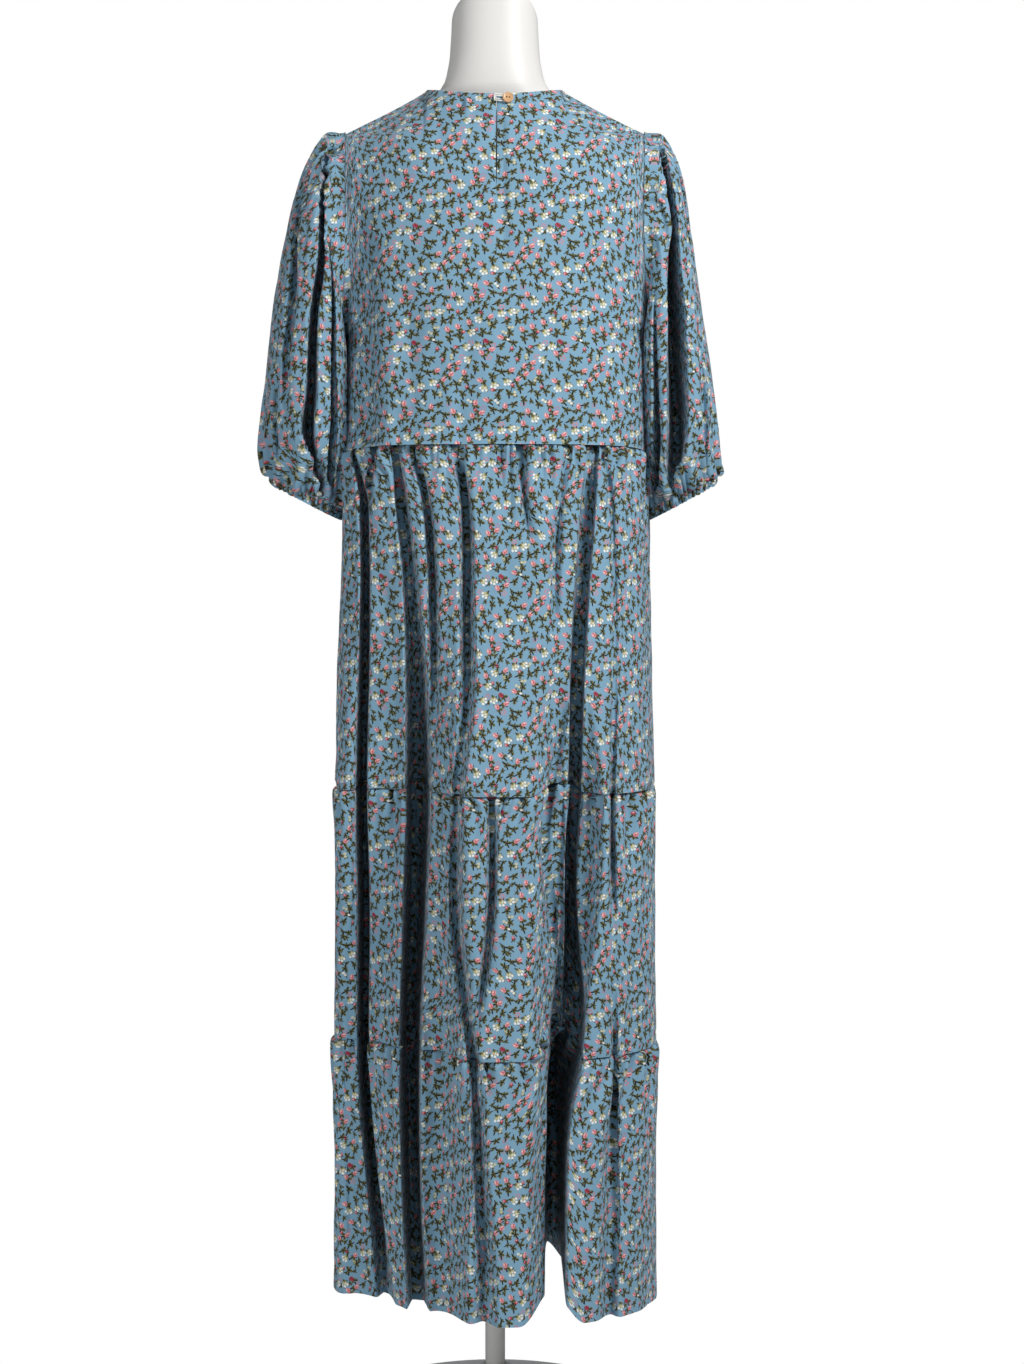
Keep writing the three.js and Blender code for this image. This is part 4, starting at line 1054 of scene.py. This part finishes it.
def swung(graph, local, turn, most):
    """Turned about its middle by up to half of most either way."""
    angle = graph.times(graph.minus(turn, 0.5), most)
    return graph.node("ShaderNodeVectorRotate", local, None, angle, rotation_type="Z_AXIS").outputs[0]


def blob(graph, local, middle, radii, edge=0.8):
    """1 inside an ellipse in mm, with a soft edge about as wide as edge, and the share of its radius."""
    from_middle = graph.vector("SUBTRACT", local, (*middle, 0))
    share = graph.vector("LENGTH", graph.vector("MULTIPLY", from_middle, (1 / radii[0], 1 / radii[1], 0)))
    inside = graph.line(share, -min(radii) / edge, min(radii) / edge + 0.5, clamp=True)
    return inside, share


def polar(graph, local):
    x, y, _ = graph.split(local)
    return graph.math("ARCTAN2", y, x), graph.vector("LENGTH", local)


def ring_of(graph, local, count, radius, dot, edge=0.8):
    """Equal dots in mm round a middle."""
    angle, far = polar(graph, local)
    part = 2 * np.pi / count
    folded = graph.minus(graph.math("FLOORED_MODULO", angle, part), part / 2)
    x = graph.times(far, graph.wave(folded))
    y = graph.times(far, graph.math("SINE", folded))
    return blob(graph, graph.join(x, y), (radius, 0), (dot, dot), edge)


def leaves(graph, angle, far, count, reach, heart, thin, lean, edge=0.6):
    """Pointed leaves of unequal length round a middle, from polar values; thin makes them narrow."""
    petal = graph.math("ABSOLUTE", graph.wave(graph.times(angle, count / 2)))
    petal = graph.math("POWER", petal, thin)
    uneven = graph.wave(graph.line(angle, 2.0, lean))
    longer = graph.line(uneven, 0.32 * reach, 0.68 * reach)
    limit = graph.line(petal, longer, heart)
    return graph.line(graph.minus(limit, far), 1 / edge, 0.5, clamp=True)


def flower_print():
    """Small scattered buds, blossoms, berries, twigs and leaf sprigs on a plain ground."""
    tree, g, given, result = group(
        "small_flower_print",
        [("Cloth", "Vector", None), ("Ground", "Color", FLOWER_COLORS["ground"])],
        [("Color", "Color")],
    )
    place = g.vector("MULTIPLY", given["Cloth"], (1000, 1000, 0))
    color = given["Ground"]

    def lay(share, *paint, shown):
        """Prints a colour, or a blend of two by a share, over what is there."""
        nonlocal color
        top = g.mix(*paint) if len(paint) > 1 else paint[0]
        color = g.mix(g.times(share, shown), color, top)

    def sprig(middle, lean, reach, shown):
        """Olive leaves behind dark ones."""
        angle, far = polar(g, middle)
        behind = leaves(g, g.math("ADD", angle, 0.6), far, 3, 0.6 * reach, 0.27 * reach, 0.9, lean)
        lay(behind, "olive", shown=shown)
        dark = leaves(g, angle, far, 5, 0.96 * reach, 0.15 * reach, 3.8, lean, 0.5)
        lay(dark, "leaf", shown=shown)

    def growing(seed, chart, masks, shift, jitter, swing):
        """What grows at the places of one lattice: its masks, its own place, a random share and its lean."""
        number, away, turn, share = lattice(g, place, seed, shift, jitter)
        return charted(g, number, chart, masks), swung(g, away, turn, swing), share, g.line(share, 1.6, 2.3)

    for seed, chart, shift in zip((3, 4), SMALL_CHARTS, ((0.5, 0.0), (0.0, 0.5))):
        masks, local, share, lean = growing(seed, chart, SMALL_MASKS, shift, 2.9, 3.2)
        berry, white, twig, there = masks
        root = g.vector("MULTIPLY", g.join(berry, g.math("MAXIMUM", berry, white)), (-0.6, -1.7, 0))
        leafy = g.minus(there, twig)
        sprig(g.vector("SUBTRACT", local, root), lean, 3.7, leafy)
        dots, _ = ring_of(g, local, 5, 2.1, 0.85, 0.6)
        lay(dots, share, "mauve", "rose", shown=twig)
        dots, _ = ring_of(g, local, 2, 1.5, 1.45)
        lay(dots, share, "white", "cream", shown=white)
        round_berry, _ = blob(g, local, (0, 0), (1.75, 1.9))
        light, _ = blob(g, local, (0.3, 0.4), (0.7, 0.8))
        lay(round_berry, light, "rose red", "rose light", shown=berry)

    for seed, chart, shift in zip((7, 8), LARGE_CHARTS, ((0.0, 0.0), (0.5, 0.5))):
        masks, local, share, lean = growing(seed, chart, LARGE_MASKS, shift, 2.0, 2.4)
        bud, white, _, bright = masks
        above = g.math("MAXIMUM", bud, g.times(white, -0.9))
        root = g.vector("MULTIPLY", g.join(white, above), (-0.8, -3.1, 0))
        sprig(g.vector("SUBTRACT", local, root), lean, 5.6, 1.0)
        for middle, radii, tint in BUNCH:
            petal, _ = blob(g, local, middle, radii, 0.7)
            lay(petal, tint, shown=white)
        # a bud has a light rim and dark folds
        body, far = blob(g, local, (0, 0), (2.3, 3.0))
        x, y, _ = g.split(local)
        slant = g.times(g.math("ABSOLUTE", y), 0.9)
        folds = g.wave(g.line(x, 2.2, slant))
        light = g.mix(g.line(far, 1.8, -0.9, clamp=True), "rose", "rose light")
        pink = g.mix(g.line(folds, 0.9, -0.1, clamp=True), light, "rose red")
        dark = g.mix(g.line(folds, 0.8, 0.3, clamp=True), "rose red", "dark red")
        lay(body, bright, dark, pink, shown=bud)
        streak, _ = blob(g, local, (0.7, 0.9), (0.65, 1.1), 0.6)
        lay(streak, "blush", shown=g.times(bud, bright))
    tree.links.new(color, result["Color"])
    return tree


def plain_weave():
    """Fine over-and-under threads, as a height for bumps."""
    tree, g, given, result = group(
        "plain_weave",
        [("Cloth", "Vector", None), ("Threads", "Float", 24.0), ("Slub", "Float", 0.5)],
        [("Height", "Float")],
    )
    scale = g.times(given["Threads"], 1000 * np.pi / 10)
    x, y, _ = g.split(given["Cloth"])
    across, along = g.times(x, scale), g.times(y, scale)
    height = g.times(g.math("SINE", across), g.math("SINE", along))
    uneven = g.noise(g.vector("MULTIPLY", given["Cloth"], (600, 90, 0)), 1.0, 2.0)
    slub = g.times(g.minus(uneven, 0.5), given["Slub"])
    tree.links.new(g.line(height, 0.5, slub), result["Height"])
    return tree


def new_material(name, **values):
    material = bpy.data.materials.new(name)
    material.use_nodes = True
    graph = Graph(material.node_tree)
    return material, graph, graph.put(material.node_tree.nodes["Principled BSDF"], **values)


def weave_over(graph, surface, cloth, slub, strength):
    """Gives a surface the bumps of woven threads, from places on the cloth."""
    weave = graph.put(graph.node("ShaderNodeGroup", node_tree=WEAVE), cloth=cloth, slub=slub)
    bump = graph.node("ShaderNodeBump")
    graph.put(bump, strength=strength, distance=0.0002, height=weave.outputs["Height"])
    graph.put(surface, normal=bump.outputs[0])


def print_material():
    material, graph, surface = new_material(
        "printed_cloth", roughness=0.8, sheen_weight=0.12, sheen_roughness=0.4)
    cloth = graph.node("ShaderNodeUVMap", uv_map="cloth").outputs[0]
    flowers = graph.node("ShaderNodeGroup", cloth, node_tree=PRINT)
    graph.put(surface, base_color=flowers.outputs["Color"])
    weave_over(graph, surface, cloth, 0.5, 0.35)
    return material


def thread_material(name, color):
    material, graph, surface = new_material(name, base_color=color, roughness=0.75, sheen_weight=0.2)
    x, y, z = graph.split(graph.node("ShaderNodeTexCoord").outputs["Object"])
    weave_over(graph, surface, graph.join(graph.math("ADD", x, y), z), 1.0, 0.5)
    return material


def uneven_material(name, first, second, stretch=(1, 1, 1), **values):
    """A colour that drifts between two, along noise in the piece's own space."""
    material, graph, surface = new_material(name, **values)
    place = graph.node("ShaderNodeTexCoord").outputs["Object"]
    share = graph.noise(graph.vector("MULTIPLY", place, stretch), 15.0, 4.0)
    graph.put(surface, base_color=graph.mix(share, srgb(*first), srgb(*second)))
    return material


PRINT, WEAVE = flower_print(), plain_weave()
cloth_material = print_material()
seam_thread = thread_material("seam_thread", srgb(150, 178, 198))
loop_thread = thread_material("white_thread", srgb(240, 238, 230))
wood_material = uneven_material(
    "button_wood", (226, 184, 136), (196, 142, 92), (0.25, 1.6, 1.6), roughness=0.45, coat_weight=0.2)
shell_material = uneven_material("form_shell", (232, 230, 226), (240, 238, 234), roughness=0.42)
enamel_material = uneven_material(
    "stand_enamel", (238, 237, 234), (244, 243, 240), roughness=0.3, coat_weight=0.3)

# ------------------------------------------------------------ making the dress

PIECES = {}
for tier, given in TIERS.items():
    PIECES[tier + "_back"] = tier_panel(tier + "_back", BACK, *given, 38, 740)
    PIECES[tier + "_front"] = tier_panel(tier + "_front", FRONT, *given, 34, 420)
PIECES["bodice_back"] = bodice_panel("bodice_back", BACK, 60, 340)
PIECES["bodice_front"] = bodice_panel("bodice_front", FRONT, 50, 280)
for make, cut, rows in ((sleeve, "sleeve", 60), (cuff, "cuff", 10)):
    for part, side in (("_left", 1), ("_right", -1)):
        PIECES[cut + part] = make(cut + part, side, rows, 300)

for name, piece in PIECES.items():
    piece.name = name + "_cloth"
    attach(piece, "root")
    cut, part = name.rsplit("_", 1)
    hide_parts(name)

# ------------------------------------------------------------ dress form and stand

# height, half width, depth to the back, depth to the front, and taper: over 1 draws the ends of
# a level section thin
TORSO = np.array([
    (852, 112, 56, 58, 0.85),
    (860, 126, 70, 70, 0.85),
    (896, 139, 87, 86, 0.85),
    (940, 142, 92, 91, 0.85),
    (1000, 136, 90, 92, 0.85),
    (1070, 122, 83, 90, 0.85),
    (1120, 117, 82, 90, 0.85),
    (1180, 127, 90, 106, 0.85),
    (1245, 139, 98, 124, 0.85),
    (1300, 146, 99, 108, 0.85),
    (1345, 149, 92, 90, 0.9),
    (1372, 149, 84, 76, 1),
    (1390, 148, 70, 60, 1.5),
    (1406.8, 141, 56, 48, 2.4),
    (1421.8, 112, 47, 44, 2),
    (1433.8, 88, 46, 44, 1.7),
    (1446, 61, 48, 47, 1),
    (1470, 51, 47, 46, 0.9),
    (1498, 48, 45.5, 45, 0.9),
    (1517, 47, 45, 44, 0.9),
])
TORSO_SQUARENESS = 0.85
TORSO_COLUMNS, TORSO_STEP = 112, 7
NECK_SLANT = 0.74
NECK_SLANT_FROM = 1440
NECK_BEVEL = 3
BASE_RADIUS = 150
BASE_THICKNESS = 8
POLE_RADIUS = 11
COLLAR_RADIUS = 21
COLLAR_HEIGHT = 34
BASE_EDGE, COLLAR_EDGE = 4, 6  # radii of the rounded upper edges


def turns(columns):
    return 2 * np.pi * np.arange(columns) / columns


def circle(radius, z, columns):
    turn = turns(columns)
    return np.stack([radius * np.cos(turn), radius * np.sin(turn), np.full(columns, z)], 1)


def stacked(name, rings, material, low=None, high=None, closed=False):
    """A solid through rings of points; both ends are fans, or the last ring meets the first."""
    count, columns = len(rings), len(rings[0])
    points = np.concatenate(rings)
    i, j = np.meshgrid(np.arange(count if closed else count - 1), np.arange(columns), indexing="ij")
    i, j = i.ravel(), j.ravel()
    after, up = (j + 1) % columns, (i + 1) % count
    faces = [np.stack([i * columns + j, i * columns + after, up * columns + after, up * columns + j], 1)]
    if not closed:
        points = np.concatenate([points, [low, high]])
        j = np.arange(columns)
        after, last = (j + 1) % columns, (count - 1) * columns
        faces.append(np.stack([after, j, np.full(columns, len(points) - 2)], 1))
        faces.append(np.stack([last + j, last + after, np.full(columns, len(points) - 1)], 1))
    return make_mesh(name, points, faces, material)


def torso():
    heights = np.unique(np.concatenate([np.arange(TORSO[0, 0], TORSO[-1, 0], TORSO_STEP), TORSO[:, 0]]))
    c, s = np.cos(turns(TORSO_COLUMNS)), np.sin(turns(TORSO_COLUMNS))
    rings = []
    for z in heights:
        half, back, front, taper = (through(TORSO[:, 0], TORSO[:, k], z) for k in (1, 2, 3, 4))
        x = np.sign(c) * np.abs(c) ** TORSO_SQUARENESS * half
        y = np.sign(s) * np.abs(s) ** taper * np.where(s > 0, back, front)
        tilt = np.clip((z - NECK_SLANT_FROM) / (TORSO[-1, 0] - NECK_SLANT_FROM), 0, 1)
        rings.append(np.stack([x, y, z + NECK_SLANT * tilt * y], 1))
    rim = rings[-1]
    middle = rim.mean(0)
    up = np.array([0, -NECK_SLANT, 1]) / np.hypot(1, NECK_SLANT)
    for share in (0.25, 0.5, 0.75, 1.0):
        inset = lerp(rim, middle, 0.1 * share**1.5)
        rings.append(inset + up * NECK_BEVEL * np.sqrt(1 - (1 - share) ** 2))
    return stacked("form_torso_shell", rings, shell_material, (0, 0, TORSO[0, 0]), middle + up * NECK_BEVEL)


def turned(name, profile, material, columns=96, closed=False):
    """A round part from pairs of radius and height."""
    rings = [circle(r, z, columns) for r, z in profile]
    ends = () if closed else ((0, 0, profile[0][1]), (0, 0, profile[-1][1]))
    return stacked(name, rings, material, *ends, closed=closed)


def rounded(r, z, radius, start, end, steps):
    """Points of a rounded corner: its middle, its radius, and its angles in degrees."""
    return [
        (r + radius * np.cos(a), z + radius * np.sin(a))
        for a in np.radians(np.linspace(start, end, steps + 1))
    ]


def stand():
    low = BASE_THICKNESS + SEAM_GAP
    high = low + COLLAR_HEIGHT
    inside = POLE_RADIUS + SEAM_GAP
    plate_edge = rounded(BASE_RADIUS - BASE_EDGE, BASE_THICKNESS - BASE_EDGE, BASE_EDGE, 0, 90, 6)
    plate = [(BASE_RADIUS - 1, 0), (BASE_RADIUS, 1), *plate_edge]
    pole = [(POLE_RADIUS, low), (POLE_RADIUS, TORSO[0, 0] - SEAM_GAP)]
    collar_edge = rounded(COLLAR_RADIUS - COLLAR_EDGE, high - COLLAR_EDGE, COLLAR_EDGE, 0, 90, 6)
    collar = [(inside, low), (COLLAR_RADIUS, low), *collar_edge, (inside, high)]
    return {
        "stand_base": turned("base_plate", plate, enamel_material),
        "stand_pole": turned("pole_tube", pole, enamel_material, 64),
        "stand_collar": turned("pole_collar", collar, enamel_material, 64, closed=True),
    }


# ------------------------------------------------------------ button and loop

BUTTON_RADIUS = 5.8
BUTTON_THICKNESS = 2.2
BUTTON_HOLE_RADIUS = 0.9
BUTTON_HOLE_SPACING = 2.8
BUTTON_ACROSS = -14
BUTTON_BELOW_EDGE = 7
BUTTON_SLOPE = 0.45  # share of the cloth's slope that the hanging button keeps
STEM_GAP = 0.8  # under the stem, which stands askew on the sloping cloth
THREAD_RADIUS = 1.3
THREAD_LENGTH = 3.4
LOOP_THICKNESS = 1.4
LOOP_LIFT = 1.9  # middle of the cord above the seat
LOOP_WIDE, LOOP_NARROW = 2.75, 1.65  # the two turns of the cord lie this far from its middle, more or less


def button_seat():
    """The place on the cloth under the button, and the turn from +Z to the cloth's outside there."""
    along = along_at(BUTTON_ACROSS / body_half(SHOULDER_TIP))
    top = bodice_point(BACK, along, 0.0)
    drop = BUTTON_BELOW_EDGE / (top[2] - WAIST_SEAM)
    point, lower = bodice_point(BACK, along, drop), bodice_point(BACK, along, 2 * drop)
    beside = bodice_point(BACK, along + 0.01, drop)
    normal = Vector(np.cross(beside - point, lower - point)).normalized()
    if normal.y < 0:
        normal.negate()
    normal.z *= BUTTON_SLOPE
    turn = Vector((0, 0, 1)).rotation_difference(normal.normalized())
    return np.array(point), np.array(turn.to_matrix())


def seated(points, distance):
    point, turn = button_seat()
    return point + (np.asarray(points) + (0, 0, distance)) @ turn.T


def tube(path, radius, columns):
    """Rings round a closed path of points."""
    ahead = np.roll(path, -1, 0) - np.roll(path, 1, 0)
    ahead /= np.linalg.norm(ahead, axis=1, keepdims=True)
    side = np.cross(ahead, (0, 0, 1))
    side /= np.linalg.norm(side, axis=1, keepdims=True)
    over = np.cross(side, ahead)
    turn = turns(columns)[None, :, None]
    return path[:, None] + radius * (np.cos(turn) * side[:, None] + np.sin(turn) * over[:, None])


def applied(piece):
    """The mesh of a piece with its modifiers in effect."""
    bpy.context.view_layer.update()
    return bpy.data.meshes.new_from_object(piece.evaluated_get(bpy.context.evaluated_depsgraph_get()))


def button():
    """A turned disc with a raised rim and two drilled holes, seated on the cloth."""
    face = BUTTON_THICKNESS
    profile = [
        (BUTTON_RADIUS - 0.5, 0), *rounded(BUTTON_RADIUS - 0.5, 0.5, 0.5, -60, 0, 3),
        *rounded(BUTTON_RADIUS - 0.7, face - 0.7, 0.7, 0, 100, 6),
        (BUTTON_RADIUS - 1.5, face - 0.25), (BUTTON_RADIUS - 2.0, face - 0.35),
    ]
    made = turned("button_disc", profile, wood_material, 72)
    drill = turned("drill", [(BUTTON_HOLE_RADIUS, -1), (BUTTON_HOLE_RADIUS, face + 1)], wood_material, 24)
    for side in (-1, 1):
        drill.location.x = side * BUTTON_HOLE_SPACING / 2 * MM
        cut = made.modifiers.new("hole", "BOOLEAN")
        cut.object, cut.operation, cut.solver = drill, "DIFFERENCE", "EXACT"
        mesh = applied(made)
        made.modifiers.clear()
        made.data = mesh
    bpy.data.objects.remove(drill)
    points = np.array([v.co for v in made.data.vertices]) / MM
    made.data.vertices.foreach_set("co", (seated(points, THREAD_LENGTH) * MM).astype(np.float32).ravel())
    made.data.shade_smooth()
    made.data.set_sharp_from_angle(angle=np.radians(50))
    return made


def loop_ring():
    """Elastic cord wound twice round the thread, from the other edge of the slit."""
    reach = SLIT_OFFSET + SLIT_GAP - BUTTON_ACROSS
    turn = 2 * turns(320)
    end = reach / 2 * (1 + np.tanh(6 * np.cos(turn)) / np.tanh(6))
    half = LOOP_WIDE + LOOP_NARROW * np.cos(turn / 2)
    flat = np.where(np.cos(turn) > 0, 0.3, 1)  # the turns are pressed flat where they are sewn in
    lift = LOOP_THICKNESS * 0.6 * np.sin(turn / 2)
    path = np.stack([end + flat * half * np.cos(turn), half * np.sin(turn), lift], 1)
    rings = tube(path, LOOP_THICKNESS / 2, 10)
    return stacked("loop_cord", seated(rings, LOOP_LIFT), loop_thread, closed=True)


def thread_stem():
    """Thread wound round itself under the button."""
    heights = np.linspace(STEM_GAP, THREAD_LENGTH - SEAM_GAP, 7)
    rings = [circle(THREAD_RADIUS * (0.9 if k % 2 else 1), z, 24) for k, z in enumerate(heights)]
    ends = seated([(0, 0, heights[0]), (0, 0, heights[-1])], 0)
    return stacked("stem_thread", [seated(ring, 0) for ring in rings], loop_thread, *ends)


# ------------------------------------------------------------ stitches

STITCH_PITCH, STITCH_LENGTH, STITCH_THICKNESS = 3.4, 2.3, 0.55
SLIT_SEWN_WIDE, SLIT_SEWN_CLOSE = 10, 4  # how far from the slit the two sides of its facing are sewn
NECK_SEWN_ROW, HEM_SEWN_ROW, CASING_ROW = 2, -4, 2
NECK_INSET = 4  # stitches end this far before the shoulder seam


def stitch_tree():
    """Geometry nodes that set one stitch after another along the edges of a mesh."""
    tree = bpy.data.node_groups.new("running_stitches", "GeometryNodeTree")
    new = tree.interface.new_socket
    new("Geometry", in_out="INPUT", socket_type="NodeSocketGeometry")
    for name in ("Pitch", "Stitch length", "Thickness"):
        new(name, in_out="INPUT", socket_type="NodeSocketFloat")
    new("Thread", in_out="INPUT", socket_type="NodeSocketMaterial")
    new("Geometry", in_out="OUTPUT", socket_type="NodeSocketGeometry")
    graph = Graph(tree)
    given = tree.nodes.new("NodeGroupInput").outputs

    def step(kind, *inputs, **named):
        return graph.put(graph.node(kind, *inputs), **named).outputs[0]

    path = step("GeometryNodeMeshToCurve", given["Geometry"])
    even = graph.put(graph.node("GeometryNodeResampleCurve", path, mode="LENGTH"), length=given["Pitch"])
    bead = step("GeometryNodeMeshUVSphere", 6, 4, 0.5)
    size = graph.join(given["Thickness"], given["Thickness"], given["Stitch length"])
    shaped = step("GeometryNodeTransform", geometry=bead, scale=size)
    aligned = graph.node("FunctionNodeAlignRotationToVector", axis="Z")
    graph.put(aligned, vector=step("GeometryNodeInputTangent"))
    placed = step(
        "GeometryNodeInstanceOnPoints", points=even.outputs[0], instance=shaped, rotation=aligned.outputs[0])
    real = step("GeometryNodeRealizeInstances", placed)
    dressed = step("GeometryNodeSetMaterial", geometry=real, material=given["Thread"])
    tree.links.new(dressed, tree.nodes.new("NodeGroupOutput").inputs[0])
    return tree


def stitches(name, tree, paths):
    """Running stitches along lists of points in mm, as one plain mesh."""
    mesh = bpy.data.meshes.new(name)
    points = np.concatenate(paths) * MM
    starts = np.cumsum([0] + [len(path) for path in paths])
    edges = [(i, i + 1) for a, b in zip(starts, starts[1:]) for i in range(a, b - 1)]
    mesh.from_pydata(points.tolist(), edges, [])
    line = linked(name + "_line", mesh)
    modifier = line.modifiers.new("stitches", "NODES")
    modifier.node_group = tree
    values = {
        "Pitch": STITCH_PITCH * MM, "Stitch length": STITCH_LENGTH * MM,
        "Thickness": STITCH_THICKNESS * MM, "Thread": seam_thread,
    }
    for socket in tree.interface.items_tree:
        if socket.in_out == "INPUT" and socket.name in values:
            modifier[socket.identifier] = values[socket.name]
    made = linked(name, applied(line))
    bpy.data.objects.remove(line)
    made.data.shade_smooth()
    return made


def on_cloth(piece, side, places):
    """Points of a piece of cloth seen straight from the front or the back, from pairs of x and height."""
    found = []
    for x, z in places:
        hit, point, _, _ = piece.ray_cast(Vector((x, side * 1000, z)) * MM, Vector((0, -side, 0)))
        if hit:
            found.append(np.array(point) / MM)
    return np.array(found)


def slit_outline():
    """Down one side of the slit, across below it and up the other side."""
    low = NECK_BACK - SLIT_LENGTH - 5
    high = NECK_BACK - 4
    start, end = SLIT_OFFSET + SLIT_SEWN_WIDE, SLIT_OFFSET - SLIT_SEWN_CLOSE
    down = [(start, z) for z in np.arange(high, low, -4)]
    across = [(x, low) for x in np.arange(start, end, -3)]
    up = [(end, z) for z in np.arange(low, high - 20, 4)]
    return down + across + up


tree = stitch_tree()
neck_back, neck_front = (GRIDS[f"bodice_{part}"][NECK_SEWN_ROW] for part in ("back", "front"))
casings = [GRIDS[f"cuff_{part}"][CASING_ROW] for part in ("left", "right")]
inside_neck = NECK_HALF_WIDTH - NECK_INSET
stitching = {
    "hem_stitches": [GRIDS["tier_3_back"][HEM_SEWN_ROW], GRIDS["tier_3_front"][HEM_SEWN_ROW]],
    "neck_stitches": [
        neck_back[(neck_back[:, 0] > SLIT_OFFSET + 3) & (neck_back[:, 0] < inside_neck)],
        neck_back[(neck_back[:, 0] < BUTTON_ACROSS - 8) & (neck_back[:, 0] > -inside_neck)],
        neck_front[np.abs(neck_front[:, 0]) < inside_neck],
        on_cloth(PIECES["bodice_back"], BACK, slit_outline()),
    ],
    "cuff_stitches": [np.append(ring, ring[:1], 0) for ring in casings],
}
for name, paths in stitching.items():
    sewn = stitches(name, tree, paths)
    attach(sewn, "root")

SMALL_PARTS = {
    "form_torso": (torso(), "form_shell"),
    **{name: (piece, "stand_enamel") for name, piece in stand().items()},
    "button": (button(), "button_wood"),
    "button_loop": (loop_ring(), "white_thread"),
    "button_thread": (thread_stem(), "white_thread"),
}
for name, (piece, slot) in SMALL_PARTS.items():
    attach(piece, "root")
    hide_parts(name)

# ------------------------------------------------------------ floor, light and camera

FLOOR_HALF = 30000
CAMERA_PLACE = (-0.0187, 3.5, 0.98)
CAMERA_SLOPE = 0.0509114  # how much the camera looks down
CAMERA_SENSOR, CAMERA_LENS = 36, 84


def seen_apart(graph, lit, seen):
    """One look for the rays that light things and another for the camera."""
    is_seen = graph.node("ShaderNodeLightPath").outputs["Is Camera Ray"]
    return graph.node("ShaderNodeMixShader", is_seen, lit.outputs[0], seen.outputs[0]).outputs[0]


def floor():
    """A pale floor that the camera sees as plain as the background."""
    points = FLOOR_HALF * np.array([(-1, -1, 0), (1, -1, 0), (1, 1, 0), (-1, 1, 0)], float)
    material, graph, surface = new_material("studio_floor", base_color=(0.5, 0.5, 0.5, 1), roughness=0.9)
    look = seen_apart(graph, surface, graph.node("ShaderNodeEmission"))
    graph.put(material.node_tree.nodes["Material Output"], surface=look)
    made = make_mesh("studio_floor", points, np.array([[0, 1, 2, 3]]), material, smooth=False)


def sky():
    world = bpy.data.worlds.new("studio")
    bpy.context.scene.world = world
    world.use_nodes = True
    world.node_tree.nodes.clear()
    graph = Graph(world.node_tree)
    lit = graph.node("ShaderNodeBackground", (0.95, 0.97, 1.0, 1), 0.3)
    seen = graph.node("ShaderNodeBackground", (1, 1, 1, 1), 1.0)
    graph.node("ShaderNodeOutputWorld", seen_apart(graph, lit, seen))


def look_at(made, target):
    made.rotation_euler = (Vector(target) - made.location).to_track_quat("-Z", "Y").to_euler()


def area_light(name, place, target, size, power):
    light = bpy.data.lights.new(name, "AREA")
    light.shape = "RECTANGLE"
    light.size, light.size_y = size
    light.energy = power
    made = linked(name, light)
    made.location = place
    look_at(made, target)
    made.visible_camera = False


def camera():
    lens = bpy.data.cameras.new("camera")
    lens.sensor_width, lens.lens = CAMERA_SENSOR, CAMERA_LENS
    made = linked("camera", lens)
    made.location = CAMERA_PLACE
    x, y, z = CAMERA_PLACE
    look_at(made, (x, 0, z - y * CAMERA_SLOPE))
    bpy.context.scene.camera = made


floor()
sky()
area_light("key", (-1.5, 1.75, 2.6), (0, 0, 1.2), (0.7, 0.9), 59)
area_light("fill", (1.7, 1.9, 0.5), (0, 0, 0.45), (0.8, 0.9), 13)
camera()
bpy.context.scene.view_settings.view_transform = "Standard"
